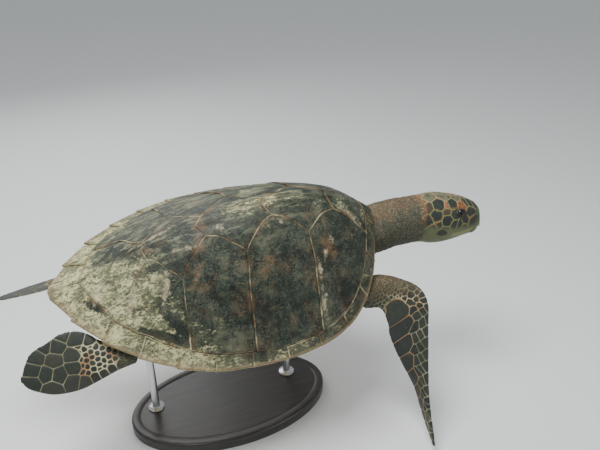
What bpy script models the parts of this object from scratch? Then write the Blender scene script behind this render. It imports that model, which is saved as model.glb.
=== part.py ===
"""A hawksbill sea turtle gliding with its right side banked down, on a plain display stand.

Lengths inside the animal are fractions of SHELL_LENGTH, in the animal's own frame:
x forward from the middle of the shell, y to its left, z up through its back.
A station s runs from 0 at the front of the shell to 1 at its rear, so x = 0.5 - s.
The empty swim_pose carries that frame over the floor and banks it.
"""
import math

import bmesh
import bpy
import numpy as np
from mathutils import Matrix, Vector

SHELL_LENGTH = 0.66
BANK = math.radians(22.6)
SWIM_HEIGHT = 0.375

SEAM = 0.0018
PLATE = 0.0035
SKIN_GAP = 0.0007
PLATE_GAP = 0.0026
UNDER_PLATES = 0.0030

BASE_LENGTH = 0.46
BASE_WIDTH = 0.27
BASE_THICK = 0.024
BASE_BEVEL = 0.005
ROD_RADIUS = 0.008
ROD_STATIONS = (0.15, -0.17)
ROD_SIDE = 0.027

FRONT = 0.012
NUCHAL_END = 0.035
MARGINALS = 12
TOOTH = 0.008

HEAD_START = Vector((0.6875, -0.022, 0.0895))
HEAD_DIRECTION = Vector((0.982, -0.180, -0.055)).normalized()
HEAD_ROLL = math.radians(37)
BEAK_START = 0.188
EYE_RADIUS = 0.0165
EYE_PLACE = (0.115, 0.0565, 0.027)

COLOURS = {
    "scute": (0.060, 0.050, 0.030, 1),
    "skin": (0.105, 0.080, 0.050, 1),
    "horn": (0.200, 0.190, 0.090, 1),
    "belly": (0.720, 0.640, 0.400, 1),
    "eye": (0.010, 0.009, 0.008, 1),
    "base": (0.030, 0.028, 0.026, 1),
    "steel": (0.550, 0.560, 0.580, 1),
}


# ---- scene and shared helpers ----------------------------------------------------------

def clear_scene():
    for obj in list(bpy.data.objects):
        bpy.data.objects.remove(obj, do_unlink=True)


def new_collection(name):
    collection = bpy.data.collections.new(name)
    bpy.context.scene.collection.children.link(collection)
    return collection


clear_scene()
ANIMAL = new_collection("hawksbill_turtle")
CUTTERS = new_collection("cutters")
POSE = bpy.data.objects.new("swim_pose", None)
ANIMAL.objects.link(POSE)
POSE.location = (0, 0, SWIM_HEIGHT)
POSE.rotation_euler = (BANK, 0, 0)
bpy.context.view_layer.update()


def paint(obj, kind):
    """Gives the object its own material."""
    material = bpy.data.materials.new(obj.name)
    material.use_nodes = True
    shader = material.node_tree.nodes["Principled BSDF"]
    shader.inputs["Base Color"].default_value = COLOURS[kind]
    shader.inputs["Roughness"].default_value = 0.5
    obj.data.materials.append(material)


def new_node(name, shape, kind, swims=True):
    """One object of the model from a bmesh. swims puts it in the animal's frame."""
    mesh = bpy.data.meshes.new(name)
    shape.to_mesh(mesh)
    shape.free()
    obj = bpy.data.objects.new(name, mesh)
    ANIMAL.objects.link(obj)
    if swims:
        obj.parent = POSE
    paint(obj, kind)
    return obj


def solid(name, points, faces, kind):
    """One object from points and faces, turned so that every face looks outward."""
    mesh = bpy.data.meshes.new(name + "_faces")
    mesh.from_pydata([Vector(p) * SHELL_LENGTH for p in points], [], faces)
    shape = bmesh.new()
    shape.from_mesh(mesh)
    bmesh.ops.recalc_face_normals(shape, faces=shape.faces)
    bmesh.ops.triangulate(shape, faces=shape.faces)
    return new_node(name, shape, kind)


def loft(name, sections, kind):
    """A closed body through rings of equally many points."""
    count = len(sections[0])
    points = [p for ring in sections for p in ring]
    faces = []
    for row in range(len(sections) - 1):
        for k in range(count):
            a = row * count + k
            b = row * count + (k + 1) % count
            faces.append((a, b, b + count, a + count))
    faces.append(tuple(range(count)))
    last = (len(sections) - 1) * count
    faces.append(tuple(range(last, last + count)))
    return solid(name, points, faces, kind)


def grown(obj, gap, uncut=False):
    """A copy a little larger all round, kept as a cutter. uncut leaves the object's own cuts out of it."""
    copy = obj.copy()
    copy.data = obj.data.copy()
    if uncut:
        copy.modifiers.clear()
    copy.name = "space_for_" + obj.name
    CUTTERS.objects.link(copy)
    copy.hide_render = True
    copy.display_type = "WIRE"
    swell = copy.modifiers.new("swell", "DISPLACE")
    swell.strength = gap
    swell.mid_level = 0
    return copy


def cut(obj, cutter):
    trim = obj.modifiers.new("clear_of_" + cutter.name, "BOOLEAN")
    trim.operation = "DIFFERENCE"
    trim.solver = "EXACT"
    trim.object = cutter


def profile(*pairs):
    """A smooth curve through (where, value) pairs."""
    at = np.array([p[0] for p in pairs], float)
    value = np.array([p[1] for p in pairs], float)
    slope = np.gradient(value, at)

    def read(where):
        where = np.clip(where, at[0], at[-1])
        i = int(np.clip(np.searchsorted(at, where, side="right") - 1, 0, len(at) - 2))
        span = at[i + 1] - at[i]
        t = (where - at[i]) / span
        start = (1 + 2 * t) * (1 - t) ** 2 * value[i] + t * (1 - t) ** 2 * span * slope[i]
        end = t * t * (3 - 2 * t) * value[i + 1] + t * t * (t - 1) * span * slope[i + 1]
        return float(start + end)

    return read


# ---- the shell's surface ---------------------------------------------------------------

HALF_WIDTH = profile((.012, .040), (.028, .095), (.055, .165), (.09, .222), (.14, .275), (.21, .315),
                     (.33, .345), (.485, .347), (.64, .322), (.794, .247), (.90, .160), (.96, .085), (1, .02))
KEEL = profile((0, .152), (.05, .185), (.12, .232), (.20, .260), (.33, .272), (.485, .256),
               (.64, .209), (.794, .138), (.928, .076), (1, .055))
RIM = profile((0, .130), (.02, .110), (.05, .078), (.09, .046), (.14, .018), (.20, .001), (.33, -.010),
              (.485, -.012), (.64, -.007), (.794, .010), (.928, .034), (1, .050))
BAND = profile((0, .042), (.15, .036), (.30, .028), (.45, .026), (.60, .034), (.75, .046),
               (.88, .058), (1, .084))
BELLY = profile((.07, -.048), (.10, -.060), (.20, -.085), (.35, -.100), (.50, -.105),
                (.65, -.100), (.80, -.080), (.90, -.040))
PLASTRON_HALF = profile((.13, .050), (.18, .105), (.28, .180), (.45, .215), (.60, .200),
                        (.75, .125), (.86, .060))


def shell_height(s, y):
    t = min(abs(y) / HALF_WIDTH(s), 1)
    return RIM(s) + (KEEL(s) - RIM(s)) * (1 - t ** 1.62) ** 1.15


def on_shell(s, y):
    return Vector((0.5 - s, y, shell_height(s, y)))


def steepness(s, y):
    """How much longer a plumb line through a plate is than the plate is thick."""
    step = 0.004
    along_x = (shell_height(s + step, y) - shell_height(s - step, y)) / (2 * step)
    along_y = (shell_height(s, abs(y)) - shell_height(s, abs(y) - 2 * step)) / (2 * step)
    return math.sqrt(1 + along_x ** 2 + along_y ** 2)


def eased(inward, reach):
    """Turns the inward directions gradually, so that the inner ring never folds at the shell's ends."""
    other = inward * (1, -1)
    whole = np.concatenate([other[reach:0:-1], inward, other[-2:-2 - reach:-1]])
    window = np.ones(2 * reach + 1)
    soft = np.stack([np.convolve(whole[:, k], window, "valid") for k in (0, 1)], axis=1)
    return soft / np.hypot(soft[:, 0], soft[:, 1])[:, None]


def outline_rings(count=600):
    """The shell's edge and the inner edge of its marginal plates, for one side, front to rear."""
    edge = [(FRONT, y) for y in np.linspace(0, HALF_WIDTH(FRONT), 20)]
    edge += [(s, HALF_WIDTH(s)) for s in np.linspace(FRONT, 1, 400)[1:]]
    edge += [(1, y) for y in np.linspace(HALF_WIDTH(1), 0, 10)[1:]]
    edge = np.array(edge)
    run = np.concatenate([[0], np.cumsum(np.hypot(*np.diff(edge, axis=0).T))])
    run /= run[-1]
    v = np.linspace(0, 1, count)
    outer = np.stack([np.interp(v, run, edge[:, 0]), np.interp(v, run, edge[:, 1])], axis=1)
    ahead = np.gradient(outer, v, axis=0)
    ahead /= np.hypot(ahead[:, 0], ahead[:, 1])[:, None]
    inward = np.stack([ahead[:, 1], -ahead[:, 0]], axis=1)
    inward = eased(inward, count // 12)
    wide = np.array([BAND(x) for x in v])[:, None]
    inner = outer + inward * wide
    inner[:, 1] = np.maximum(inner[:, 1], 0)
    return v, outer, inner, -inward


RING_V, RING_OUTER, RING_INNER, RING_OUTWARD = outline_rings()


def ring(table, v):
    """A point of a ring. v goes 0 to 1 down the right side and 1 to 2 back up the left."""
    v = v % 2
    side = -1 if v <= 1 else 1
    v = v if v <= 1 else 2 - v
    s = float(np.interp(v, RING_V, table[:, 0]))
    y = float(np.interp(v, RING_V, table[:, 1]))
    return s, side * y


def inner_at_station(s):
    """Where the right half's inner ring crosses a station."""
    return float(np.interp(s, RING_INNER[:, 0], RING_V))


def inner_half_width(s):
    return float(np.interp(s, RING_INNER[:, 0], RING_INNER[:, 1]))


FRONT_V = float(np.interp(.085, RING_INNER[:200, 1], RING_V[:200]))
COSTAL_V = (FRONT_V, inner_at_station(.275), inner_at_station(.485), inner_at_station(.665),
            inner_at_station(.868))


# ---- the carapace ----------------------------------------------------------------------

KEEL_SEAMS = (.190, .393, .588, .744)
SEAM_ENDS = ((.177, .037), (.377, .034), (.566, .035), (.735, .034))
WAISTS = ((.275, .096), (.469, .110), (.652, .120))
LAST_WAIST = (.792, .098)


def along(points):
    """A path through points, each stretch taking an equal share."""
    def read(u):
        share = u * (len(points) - 1)
        i = min(int(share), len(points) - 2)
        a = Vector(points[i])
        return a.lerp(Vector(points[i + 1]), share - i)
    return read


def around(start, end):
    """A path along the inner ring."""
    return lambda u: Vector(ring(RING_INNER, start + (end - start) * u))


def mirrored(point):
    return point[0], -point[1]


def scute(name, front, rear, first, second, across, down):
    """A plate between four paths: front and rear run across, first and second run down."""
    corners = (front(0), front(1), rear(0), rear(1))
    wide = ((front(1) - front(0)).length + (rear(1) - rear(0)).length) / 2 + 0.02
    deep = ((rear(0) - front(0)).length + (rear(1) - front(1)).length) / 2 + 0.02
    trim_u = SEAM / 2 / SHELL_LENGTH / wide
    trim_v = SEAM / 2 / SHELL_LENGTH / deep
    sheet = bmesh.new()
    bmesh.ops.create_grid(sheet, x_segments=across, y_segments=down, size=0.5)
    for vertex in sheet.verts:
        u = trim_u + (1 - 2 * trim_u) * (vertex.co.x + 0.5)
        v = trim_v + (1 - 2 * trim_v) * (vertex.co.y + 0.5)
        flat = front(u) * (1 - v) + rear(u) * v + first(v) * (1 - u) + second(v) * u
        flat -= corners[0] * (1 - u) * (1 - v) + corners[1] * u * (1 - v)
        flat -= corners[2] * (1 - u) * v + corners[3] * u * v
        vertex.co = on_shell(flat[0], flat[1]) * SHELL_LENGTH
    bmesh.ops.recalc_face_normals(sheet, faces=sheet.faces)
    if sum(face.normal.z for face in sheet.faces) < 0:
        bmesh.ops.reverse_faces(sheet, faces=sheet.faces)
    obj = new_node(name, sheet, "scute")
    thick = obj.modifiers.new("plate", "SOLIDIFY")
    thick.thickness = PLATE
    thick.offset = -1
    return obj


def seam_across(i):
    """The seam behind vertebral i, from its right end to its left end."""
    end = SEAM_ENDS[i]
    return along([mirrored(end), (KEEL_SEAMS[i], 0), end])


def build_vertebrals():
    right = ring(RING_INNER, FRONT_V)
    left = mirrored(right)
    side_r = along([right, mirrored(SEAM_ENDS[0])])
    side_l = along([left, SEAM_ENDS[0]])
    scute("vertebral_1", around(FRONT_V, -FRONT_V), seam_across(0), side_r, side_l, 6, 4)
    for i in range(3):
        stops = (SEAM_ENDS[i], WAISTS[i], SEAM_ENDS[i + 1])
        side_r = along([mirrored(p) for p in stops])
        side_l = along(stops)
        scute("vertebral_%d" % (i + 2), seam_across(i), seam_across(i + 1), side_r, side_l, 4, 6)
    last = COSTAL_V[4]
    right = ring(RING_INNER, last)
    side_r = along([mirrored(SEAM_ENDS[3]), mirrored(LAST_WAIST), right])
    side_l = along([SEAM_ENDS[3], LAST_WAIST, mirrored(right)])
    scute("vertebral_5", seam_across(3), around(last, 2 - last), side_r, side_l, 6, 4)


def build_costals(word, side):
    def here(point):
        return point[0], point[1] * side

    def rim(start, end):
        if side < 0:
            return around(start, end)
        return around(2 - start, 2 - end)

    def rim_point(v):
        return tuple(rim(v, v)(0))

    tops = (
        (SEAM_ENDS[0], WAISTS[0]),
        (WAISTS[0], SEAM_ENDS[1], WAISTS[1]),
        (WAISTS[1], SEAM_ENDS[2], WAISTS[2]),
        (WAISTS[2], SEAM_ENDS[3]),
    )
    for i, stops in enumerate(tops):
        top = [here(p) for p in stops]
        front = along([top[0], rim_point(COSTAL_V[i])])
        rear = along([top[-1], rim_point(COSTAL_V[i + 1])])
        if i == 3:
            rear = along([top[-1], here(LAST_WAIST), rim_point(COSTAL_V[4])])
        name = "costal_%s_%d" % (word, i + 1)
        scute(name, front, rear, along(top), rim(COSTAL_V[i], COSTAL_V[i + 1]), 6, 4)


def rim_section(v, reach):
    """A marginal plate's section: over the rim and back below it. reach pushes its edge out."""
    inner = ring(RING_INNER, v)
    edge = ring(RING_OUTER, v)
    one = v % 2
    side = -1 if one <= 1 else 1
    one = one if one <= 1 else 2 - one
    out_s = float(np.interp(one, RING_V, RING_OUTWARD[:, 0]))
    out_y = float(np.interp(one, RING_V, RING_OUTWARD[:, 1])) * side
    edge = Vector((edge[0], edge[1]))
    out = Vector((out_s, out_y))
    inner = Vector(inner)
    inner = inner + (edge - inner).normalized() * (SEAM / 2 / SHELL_LENGTH)
    middle = inner.lerp(edge, 0.5)
    rim_z = shell_height(*edge)
    plate = 1.5 * PLATE / SHELL_LENGTH
    tip = edge + out * reach
    lower = edge + out * (reach * 0.7) - out * 0.002
    under = inner.lerp(edge, 0.45)

    def place(flat, z):
        return Vector((0.5 - flat[0], flat[1], z))

    inner_z = shell_height(*inner)
    return [
        place(inner, inner_z),
        place(middle, shell_height(*middle)),
        place(tip, rim_z),
        place(lower, rim_z - 1.2 * plate),
        place(under, min(rim_z - 1.0 * plate, shell_height(*under) - 1.3 * plate)),
        place(inner, inner_z - plate),
    ]


def rim_plate(name, start, end, teeth, count):
    """A plate of the margin. teeth is how far its rear corner stands out."""
    trim = SEAM / 2 / SHELL_LENGTH / 1.25
    sections = []
    for k in range(count):
        share = k / (count - 1)
        v = start + (end - start) * share
        v += trim * (1 - 2 * share) * (1 if end > start else -1)
        sections.append(rim_section(v, teeth * share ** 2))
    return loft(name, sections, "scute")


def build_margin():
    rim_plate("nuchal", -NUCHAL_END, NUCHAL_END, 0, 5)
    step = (1 - NUCHAL_END) / MARGINALS
    for i in range(MARGINALS):
        start = NUCHAL_END + i * step
        end = start + step
        teeth = TOOTH * max(0, (i - 4)) / 7
        name = "marginal_right_%d" % (i + 1)
        rim_plate(name, start, end, teeth, 4)
        name = "marginal_left_%d" % (i + 1)
        rim_plate(name, 2 - start, 2 - end, teeth, 4)


# ---- the trunk and the plastron --------------------------------------------------------

def belly_height(s, y):
    wall = inner_half_width(s) - 0.004
    edge = RIM(s) - 0.014
    share = min(abs(y) / wall, 1)
    return BELLY(s) + (edge - BELLY(s)) * share ** 3


def trunk_section(s):
    wall = inner_half_width(s) - 0.004
    drop = (PLATE + UNDER_PLATES) / SHELL_LENGTH
    top = []
    for share in (1, .9, .72, .5, .25, 0, -.25, -.5, -.72, -.9, -1):
        y = wall * share
        top.append(Vector((0.5 - s, y, shell_height(s, y) - drop * steepness(s, y))))
    bottom = []
    for share in (-1, -.85, -.65, -.35, 0, .35, .65, .85, 1):
        y = wall * share
        bottom.append(Vector((0.5 - s, y, belly_height(s, y))))
    return top + bottom


def build_trunk():
    stations = (.072, .10, .135, .17, .22, .28, .36, .45, .54, .63, .71, .78, .84, .902)
    return loft("trunk", [trunk_section(s) for s in stations], "skin")


def build_plastron():
    sheet = bmesh.new()
    bmesh.ops.create_grid(sheet, x_segments=12, y_segments=6, size=0.5)
    clear = PLATE_GAP / SHELL_LENGTH
    for vertex in sheet.verts:
        s = .13 + .73 * (vertex.co.x + 0.5)
        y = 2 * vertex.co.y * PLASTRON_HALF(s)
        vertex.co = Vector((0.5 - s, y, belly_height(s, y) - clear)) * SHELL_LENGTH
    bmesh.ops.recalc_face_normals(sheet, faces=sheet.faces)
    if sum(face.normal.z for face in sheet.faces) > 0:
        bmesh.ops.reverse_faces(sheet, faces=sheet.faces)
    obj = new_node("plastron", sheet, "belly")
    thick = obj.modifiers.new("plate", "SOLIDIFY")
    thick.thickness = PLATE * 1.4
    thick.offset = 1
    return obj


# ---- the neck and the head -------------------------------------------------------------

def egg_ring(centre, ahead, half_width, up_reach, down_reach, roll, power=2.2, count=16):
    """A rounded ring across the direction ahead. roll leans its top to the animal's left."""
    lean = Vector((0, math.sin(roll), math.cos(roll)))
    side = lean.cross(ahead).normalized()
    top = ahead.cross(side).normalized()
    points = []
    for k in range(count):
        turn = 2 * math.pi * k / count
        c = math.cos(turn)
        n = math.sin(turn)
        wide = math.copysign(abs(c) ** (2 / power), c) * half_width
        tall = math.copysign(abs(n) ** (2 / power), n)
        tall *= up_reach if n > 0 else down_reach
        points.append(Vector(centre) + side * wide + top * tall)
    return points


def build_neck():
    ahead = Vector((1, 0, 0))
    behind_head = HEAD_START - HEAD_DIRECTION * 0.001
    stops = (
        ((.4295, 0, .040), ahead, .110, .080, .087, 0),
        ((.460, 0, .043), ahead, .091, .067, .086, 4),
        ((.490, 0, .048), ahead, .083, .064, .085, 9),
        ((.535, -.003, .060), ahead, .083, .075, .082, 18),
        ((.585, -.008, .072), ahead, .080, .078, .078, 24),
        ((.635, -.014, .081), ahead.lerp(HEAD_DIRECTION, .6), .077, .077, .079, 31),
        (behind_head, HEAD_DIRECTION, .075, .080, .083, 37),
    )
    sections = [egg_ring(c, d.normalized(), w, u, b, math.radians(r)) for c, d, w, u, b, r in stops]
    return loft("neck", sections, "skin")


def head_point(ahead, left, up):
    """A point given in the head's own frame, from the nape."""
    lean = Vector((0, math.sin(HEAD_ROLL), math.cos(HEAD_ROLL)))
    side = lean.cross(HEAD_DIRECTION).normalized()
    top = HEAD_DIRECTION.cross(side).normalized()
    return HEAD_START + HEAD_DIRECTION * ahead + side * left + top * up


def build_head():
    stops = (
        (.000, .075, .080, .083),
        (.030, .078, .086, .086),
        (.065, .079, .087, .084),
        (.100, .074, .084, .077),
        (.130, .065, .079, .069),
        (.155, .056, .073, .061),
        (.172, .050, .067, .057),
        (BEAK_START - .0007, .0435, .061, .053),
    )
    sections = []
    for ahead, wide, top, low in stops:
        centre = HEAD_START + HEAD_DIRECTION * ahead
        sections.append(egg_ring(centre, HEAD_DIRECTION, wide, top, low, HEAD_ROLL))
    head = loft("head", sections, "skin")
    for side in (-1, 1):
        cut(head, eye_ball("socket_left" if side > 0 else "socket_right", side, 0.0006))
    return head


def eye_ball(name, side, more):
    """An eye, or where more is above zero, the cutter for its socket."""
    ball = bmesh.new()
    radius = EYE_RADIUS * SHELL_LENGTH + more
    bmesh.ops.create_uvsphere(ball, u_segments=14, v_segments=8, radius=radius)
    obj = new_node(name, ball, "eye")
    obj.location = head_point(EYE_PLACE[0], EYE_PLACE[1] * side, EYE_PLACE[2]) * SHELL_LENGTH
    if more:
        ANIMAL.objects.unlink(obj)
        CUTTERS.objects.link(obj)
        obj.hide_render = True
        obj.display_type = "WIRE"
    return obj


def beak_ring(ahead, wide, flat_z, round_z, count=9):
    """A half-round ring with its flat at the mouth."""
    points = []
    for k in range(count):
        turn = math.pi * k / (count - 1)
        y = math.cos(turn)
        z = math.sin(turn)
        y = math.copysign(abs(y) ** 0.9, y) * wide
        points.append(head_point(ahead, y, flat_z + (round_z - flat_z) * z ** 0.9))
    return points


def build_beak():
    upper = (
        (BEAK_START, .0430, -.0270, .0605),
        (.200, .0370, -.0240, .0530),
        (.212, .0280, -.0220, .0420),
        (.221, .0170, -.0250, .0270),
        (.2275, .0070, -.0300, .0050),
    )
    lower = (
        (BEAK_START, .0400, -.0285, -.0525),
        (.199, .0340, -.0255, -.0490),
        (.209, .0240, -.0240, -.0440),
        (.216, .0120, -.0270, -.0380),
    )
    loft("beak_upper", [beak_ring(*stop) for stop in upper], "horn")
    loft("beak_lower", [beak_ring(*stop) for stop in lower], "horn")


# ---- the flippers ----------------------------------------------------------------------

CHORD = (0, .08, .30, .65, .93, 1)
FULLNESS = (0, .62, 1, .72, .28, 0)


class Limb:
    """A flat limb: root point, the way it reaches, the way its leading edge faces, and its upper side."""

    def __init__(self, root, reach, lead):
        self.root = Vector(root)
        self.reach = Vector(reach).normalized()
        lead = Vector(lead)
        self.lead = (lead - self.reach * lead.dot(self.reach)).normalized()
        self.upper = self.reach.cross(self.lead)
        if self.upper.z < 0:
            self.upper = -self.upper

    def ring(self, front, back, thick, twist):
        """A blade section from its leading point to its trailing point, twisted about the leading one."""
        turn = math.radians(twist)
        first = self.root + self.reach * front[0] + self.lead * front[1]
        forward = self.lead * math.cos(turn) + self.upper * math.sin(turn)
        top = self.upper * math.cos(turn) - self.lead * math.sin(turn)
        span = self.reach * (back[0] - front[0]) + forward * (back[1] - front[1])
        above = [first + span * c + top * (thick / 2 * f) for c, f in zip(CHORD, FULLNESS)]
        below = [first + span * c - top * (thick / 2 * f) for c, f in zip(CHORD, FULLNESS)]
        return above + below[-2:0:-1]


def shoulder_ring(point, limb, half_a, half_b, thick):
    """The small hidden ring that starts a limb inside the trunk."""
    centre = Vector(point)
    first = centre - limb.reach * half_a + limb.lead * half_b
    span = (centre - first) * 2
    top = limb.upper
    above = [first + span * c + top * (thick / 2 * f) for c, f in zip(CHORD, FULLNESS)]
    below = [first + span * c - top * (thick / 2 * f) for c, f in zip(CHORD, FULLNESS)]
    return above + below[-2:0:-1]


FRONT_BLADE = (
    ((-.053, -.030), (.052, -.040), .072),
    ((-.046, .035), (.058, -.002), .068),
    ((-.020, .092), (.067, .010), .060),
    ((.020, .144), (.085, .016), .050),
    ((.075, .161), (.120, .020), .042),
    ((.150, .147), (.165, .018), .034),
    ((.220, .132), (.225, .020), .028),
    ((.290, .117), (.290, .022), .022),
    ((.360, .103), (.355, .024), .018),
    ((.430, .095), (.420, .031), .014),
    ((.490, .091), (.478, .046), .011),
    ((.530, .087), (.522, .070), .008),
)
HIND_BLADE = (
    ((.000, .031), (.000, -.030), .050),
    ((.044, .040), (.044, -.038), .044),
    ((.083, .052), (.083, -.052), .035),
    ((.115, .062), (.115, -.080), .029),
    ((.150, .071), (.150, -.094), .025),
    ((.190, .073), (.188, -.093), .021),
    ((.230, .068), (.224, -.077), .017),
    ((.262, .054), (.254, -.066), .014),
    ((.282, .042), (.273, -.051), .011),
    ((.294, .030), (.287, -.028), .009),
    ((.299, .019), (.296, -.006), .007),
)
RIGHT_FRONT = Limb((.451, -.202, -.008), (.020, -.795, -.606), (.943, -.187, .276))
LEFT_FRONT = Limb((.360, .170, -.090), (-.420, .520, -.745), (.822, .564, -.071))
RIGHT_HIND = Limb((-.312, -.203, -.026), (-.997, .051, -.059), (-.005, -.790, -.613))
LEFT_HIND = Limb((-.380, .150, -.094), (-.975, .040, -.190), (.130, .690, -.710))
RIGHT_TWIST = (0, 0, 0, 0, 0, 15, 30, 48, 66, 72, 75, 78)
LEFT_TWIST = (0, 0, 0, 0, 0, 4, 8, 12, 16, 20, 22, 24)


def build_flipper(name, limb, blade, twists, shoulder, neighbours):
    sections = [shoulder]
    for (front, back, thick), twist in zip(blade, twists):
        sections.append(limb.ring(front, back, thick, twist))
    flipper = loft(name, sections, "skin")
    for cutter in neighbours:
        cut(flipper, cutter)
    return flipper


def build_claw(name, limb, flipper, at, lead, length, radius):
    """A cone on the leading edge, pointing outward and to the tip."""
    foot = limb.root + limb.reach * at + limb.lead * (lead - radius * 1.6)
    aim = (limb.lead * 0.55 + limb.reach * 0.75 - limb.upper * 0.35).normalized()
    cone = bmesh.new()
    bmesh.ops.create_cone(cone, cap_ends=True, segments=8, radius1=radius * SHELL_LENGTH,
                          radius2=radius * 0.16 * SHELL_LENGTH, depth=length * SHELL_LENGTH)
    turn = aim.to_track_quat("Z", "Y").to_matrix().to_4x4()
    centre = (foot + aim * (length / 2)) * SHELL_LENGTH
    bmesh.ops.transform(cone, matrix=Matrix.Translation(centre) @ turn, verts=cone.verts)
    claw = new_node(name, cone, "horn")
    cut(claw, grown(flipper, SKIN_GAP, uncut=True))
    return claw


def build_flippers(trunk, neck):
    around_trunk = grown(trunk, SKIN_GAP)
    around_neck = grown(neck, SKIN_GAP)
    flat = (0,) * len(HIND_BLADE)
    shoulder = shoulder_ring((.335, -.135, .000), RIGHT_FRONT, .030, 0, .045)
    right = build_flipper("flipper_front_right", RIGHT_FRONT, FRONT_BLADE, RIGHT_TWIST,
                          shoulder, (around_trunk, around_neck))
    shoulder = shoulder_ring((.290, .115, -.010), LEFT_FRONT, .030, 0, .045)
    left = build_flipper("flipper_front_left", LEFT_FRONT, FRONT_BLADE, LEFT_TWIST,
                         shoulder, (around_trunk, around_neck))
    hip = shoulder_ring((-.250, -.115, -.005), RIGHT_HIND, 0, .022, .035)
    hind_right = build_flipper("flipper_hind_right", RIGHT_HIND, HIND_BLADE, flat, hip, (around_trunk,))
    hip = shoulder_ring((-.250, .115, -.010), LEFT_HIND, 0, .022, .035)
    hind_left = build_flipper("flipper_hind_left", LEFT_HIND, HIND_BLADE, flat, hip, (around_trunk,))
    build_claw("claw_front_right", RIGHT_FRONT, right, .120, .150, .030, .0070)
    build_claw("claw_front_left", LEFT_FRONT, left, .120, .150, .030, .0070)
    build_claw("claw_hind_right", RIGHT_HIND, hind_right, .150, .068, .022, .0055)
    build_claw("claw_hind_left", LEFT_HIND, hind_left, .150, .068, .022, .0055)


def build_tail():
    stops = ((-.4028, .030, -.004), (-.425, .025, -.007), (-.450, .017, -.009), (-.485, .007, -.011))
    sections = [egg_ring((x, 0, z), Vector((-1, 0, 0)), r, r, r, 0, 2, 10) for x, r, z in stops]
    return loft("tail", sections, "skin")


# ---- the stand -------------------------------------------------------------------------

def build_stand(plastron):
    slab = bmesh.new()
    bmesh.ops.create_cone(slab, cap_ends=True, segments=48, radius1=0.5, radius2=0.5, depth=1)
    for vertex in slab.verts:
        vertex.co.x *= BASE_LENGTH
        vertex.co.y *= BASE_WIDTH
        vertex.co.z = (vertex.co.z + 0.5) * BASE_THICK
    base = new_node("stand_base", slab, "base", swims=False)
    edge = base.modifiers.new("edge", "BEVEL")
    edge.width = BASE_BEVEL
    edge.segments = 2
    edge.limit_method = "ANGLE"
    space = grown(plastron, SKIN_GAP)
    space.modifiers["plate"].thickness = PLATE * 14
    space.modifiers["plate"].offset = -0.8
    for name, x in zip(("stand_rod_front", "stand_rod_rear"), ROD_STATIONS):
        rod = bmesh.new()
        bottom = BASE_THICK + 0.0005
        top = SWIM_HEIGHT - 0.035
        bmesh.ops.create_cone(rod, cap_ends=True, segments=20, radius1=ROD_RADIUS,
                              radius2=ROD_RADIUS, depth=top - bottom)
        for vertex in rod.verts:
            vertex.co += Vector((x, ROD_SIDE, (top + bottom) / 2))
        cut(new_node(name, rod, "steel", swims=False), space)


def build():
    build_vertebrals()
    build_costals("right", -1)
    build_costals("left", 1)
    build_margin()
    trunk = build_trunk()
    plastron = build_plastron()
    neck = build_neck()
    build_head()
    eye_ball("eye_right", -1, 0)
    eye_ball("eye_left", 1, 0)
    build_beak()
    build_flippers(trunk, neck)
    build_tail()
    build_stand(plastron)


build()
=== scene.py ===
"""Finishes the hawksbill turtle: horn plates, one scaled skin, beak, eyes, claws and stand.

Shapes repeat the part's own named values. Lengths in the animal's frame are fractions of
SHELL_LENGTH: x forward, y to its left, z up through its back, and a station s = 0.5 - x.
"""
import math

import bmesh
import bpy
import numpy as np
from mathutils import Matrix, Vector


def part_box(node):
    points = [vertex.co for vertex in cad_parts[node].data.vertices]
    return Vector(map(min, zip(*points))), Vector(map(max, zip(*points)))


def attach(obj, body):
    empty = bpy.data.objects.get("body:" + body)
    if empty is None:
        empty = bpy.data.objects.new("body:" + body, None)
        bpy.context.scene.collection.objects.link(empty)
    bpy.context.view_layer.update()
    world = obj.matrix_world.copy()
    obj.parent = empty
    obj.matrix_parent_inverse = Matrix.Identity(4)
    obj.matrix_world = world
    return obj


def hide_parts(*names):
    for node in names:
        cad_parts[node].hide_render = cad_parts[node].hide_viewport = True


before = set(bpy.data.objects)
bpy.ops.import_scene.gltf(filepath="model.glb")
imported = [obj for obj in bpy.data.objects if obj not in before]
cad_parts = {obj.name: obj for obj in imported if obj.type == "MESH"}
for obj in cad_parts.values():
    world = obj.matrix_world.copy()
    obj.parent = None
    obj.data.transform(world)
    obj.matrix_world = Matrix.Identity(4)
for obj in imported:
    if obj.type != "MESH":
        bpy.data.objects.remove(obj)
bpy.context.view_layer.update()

SHELL_LENGTH = 0.66
BANK = math.radians(22.6)
SWIM_HEIGHT = 0.375
PLATE = 0.0035
MM = 0.001 / SHELL_LENGTH


# ---- shared helpers --------------------------------------------------------------------

def to_world(points):
    """From the animal's frame to the room, in metres."""
    p = np.asarray(points, float) * SHELL_LENGTH
    c, s = math.cos(BANK), math.sin(BANK)
    y = p[..., 1] * c - p[..., 2] * s
    z = p[..., 1] * s + p[..., 2] * c + SWIM_HEIGHT
    return np.stack([p[..., 0], y, z], axis=-1)


def unit(v):
    v = np.asarray(v, float)
    return v / np.maximum(np.linalg.norm(v, axis=-1, keepdims=True), 1e-12)


def smooth_step(a, b, x):
    """Eases from 0 to 1 as x goes from a to b, which may be the higher one."""
    t = np.clip((x - a) / (b - a), 0, 1)
    return t * t * (3 - 2 * t)


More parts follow.
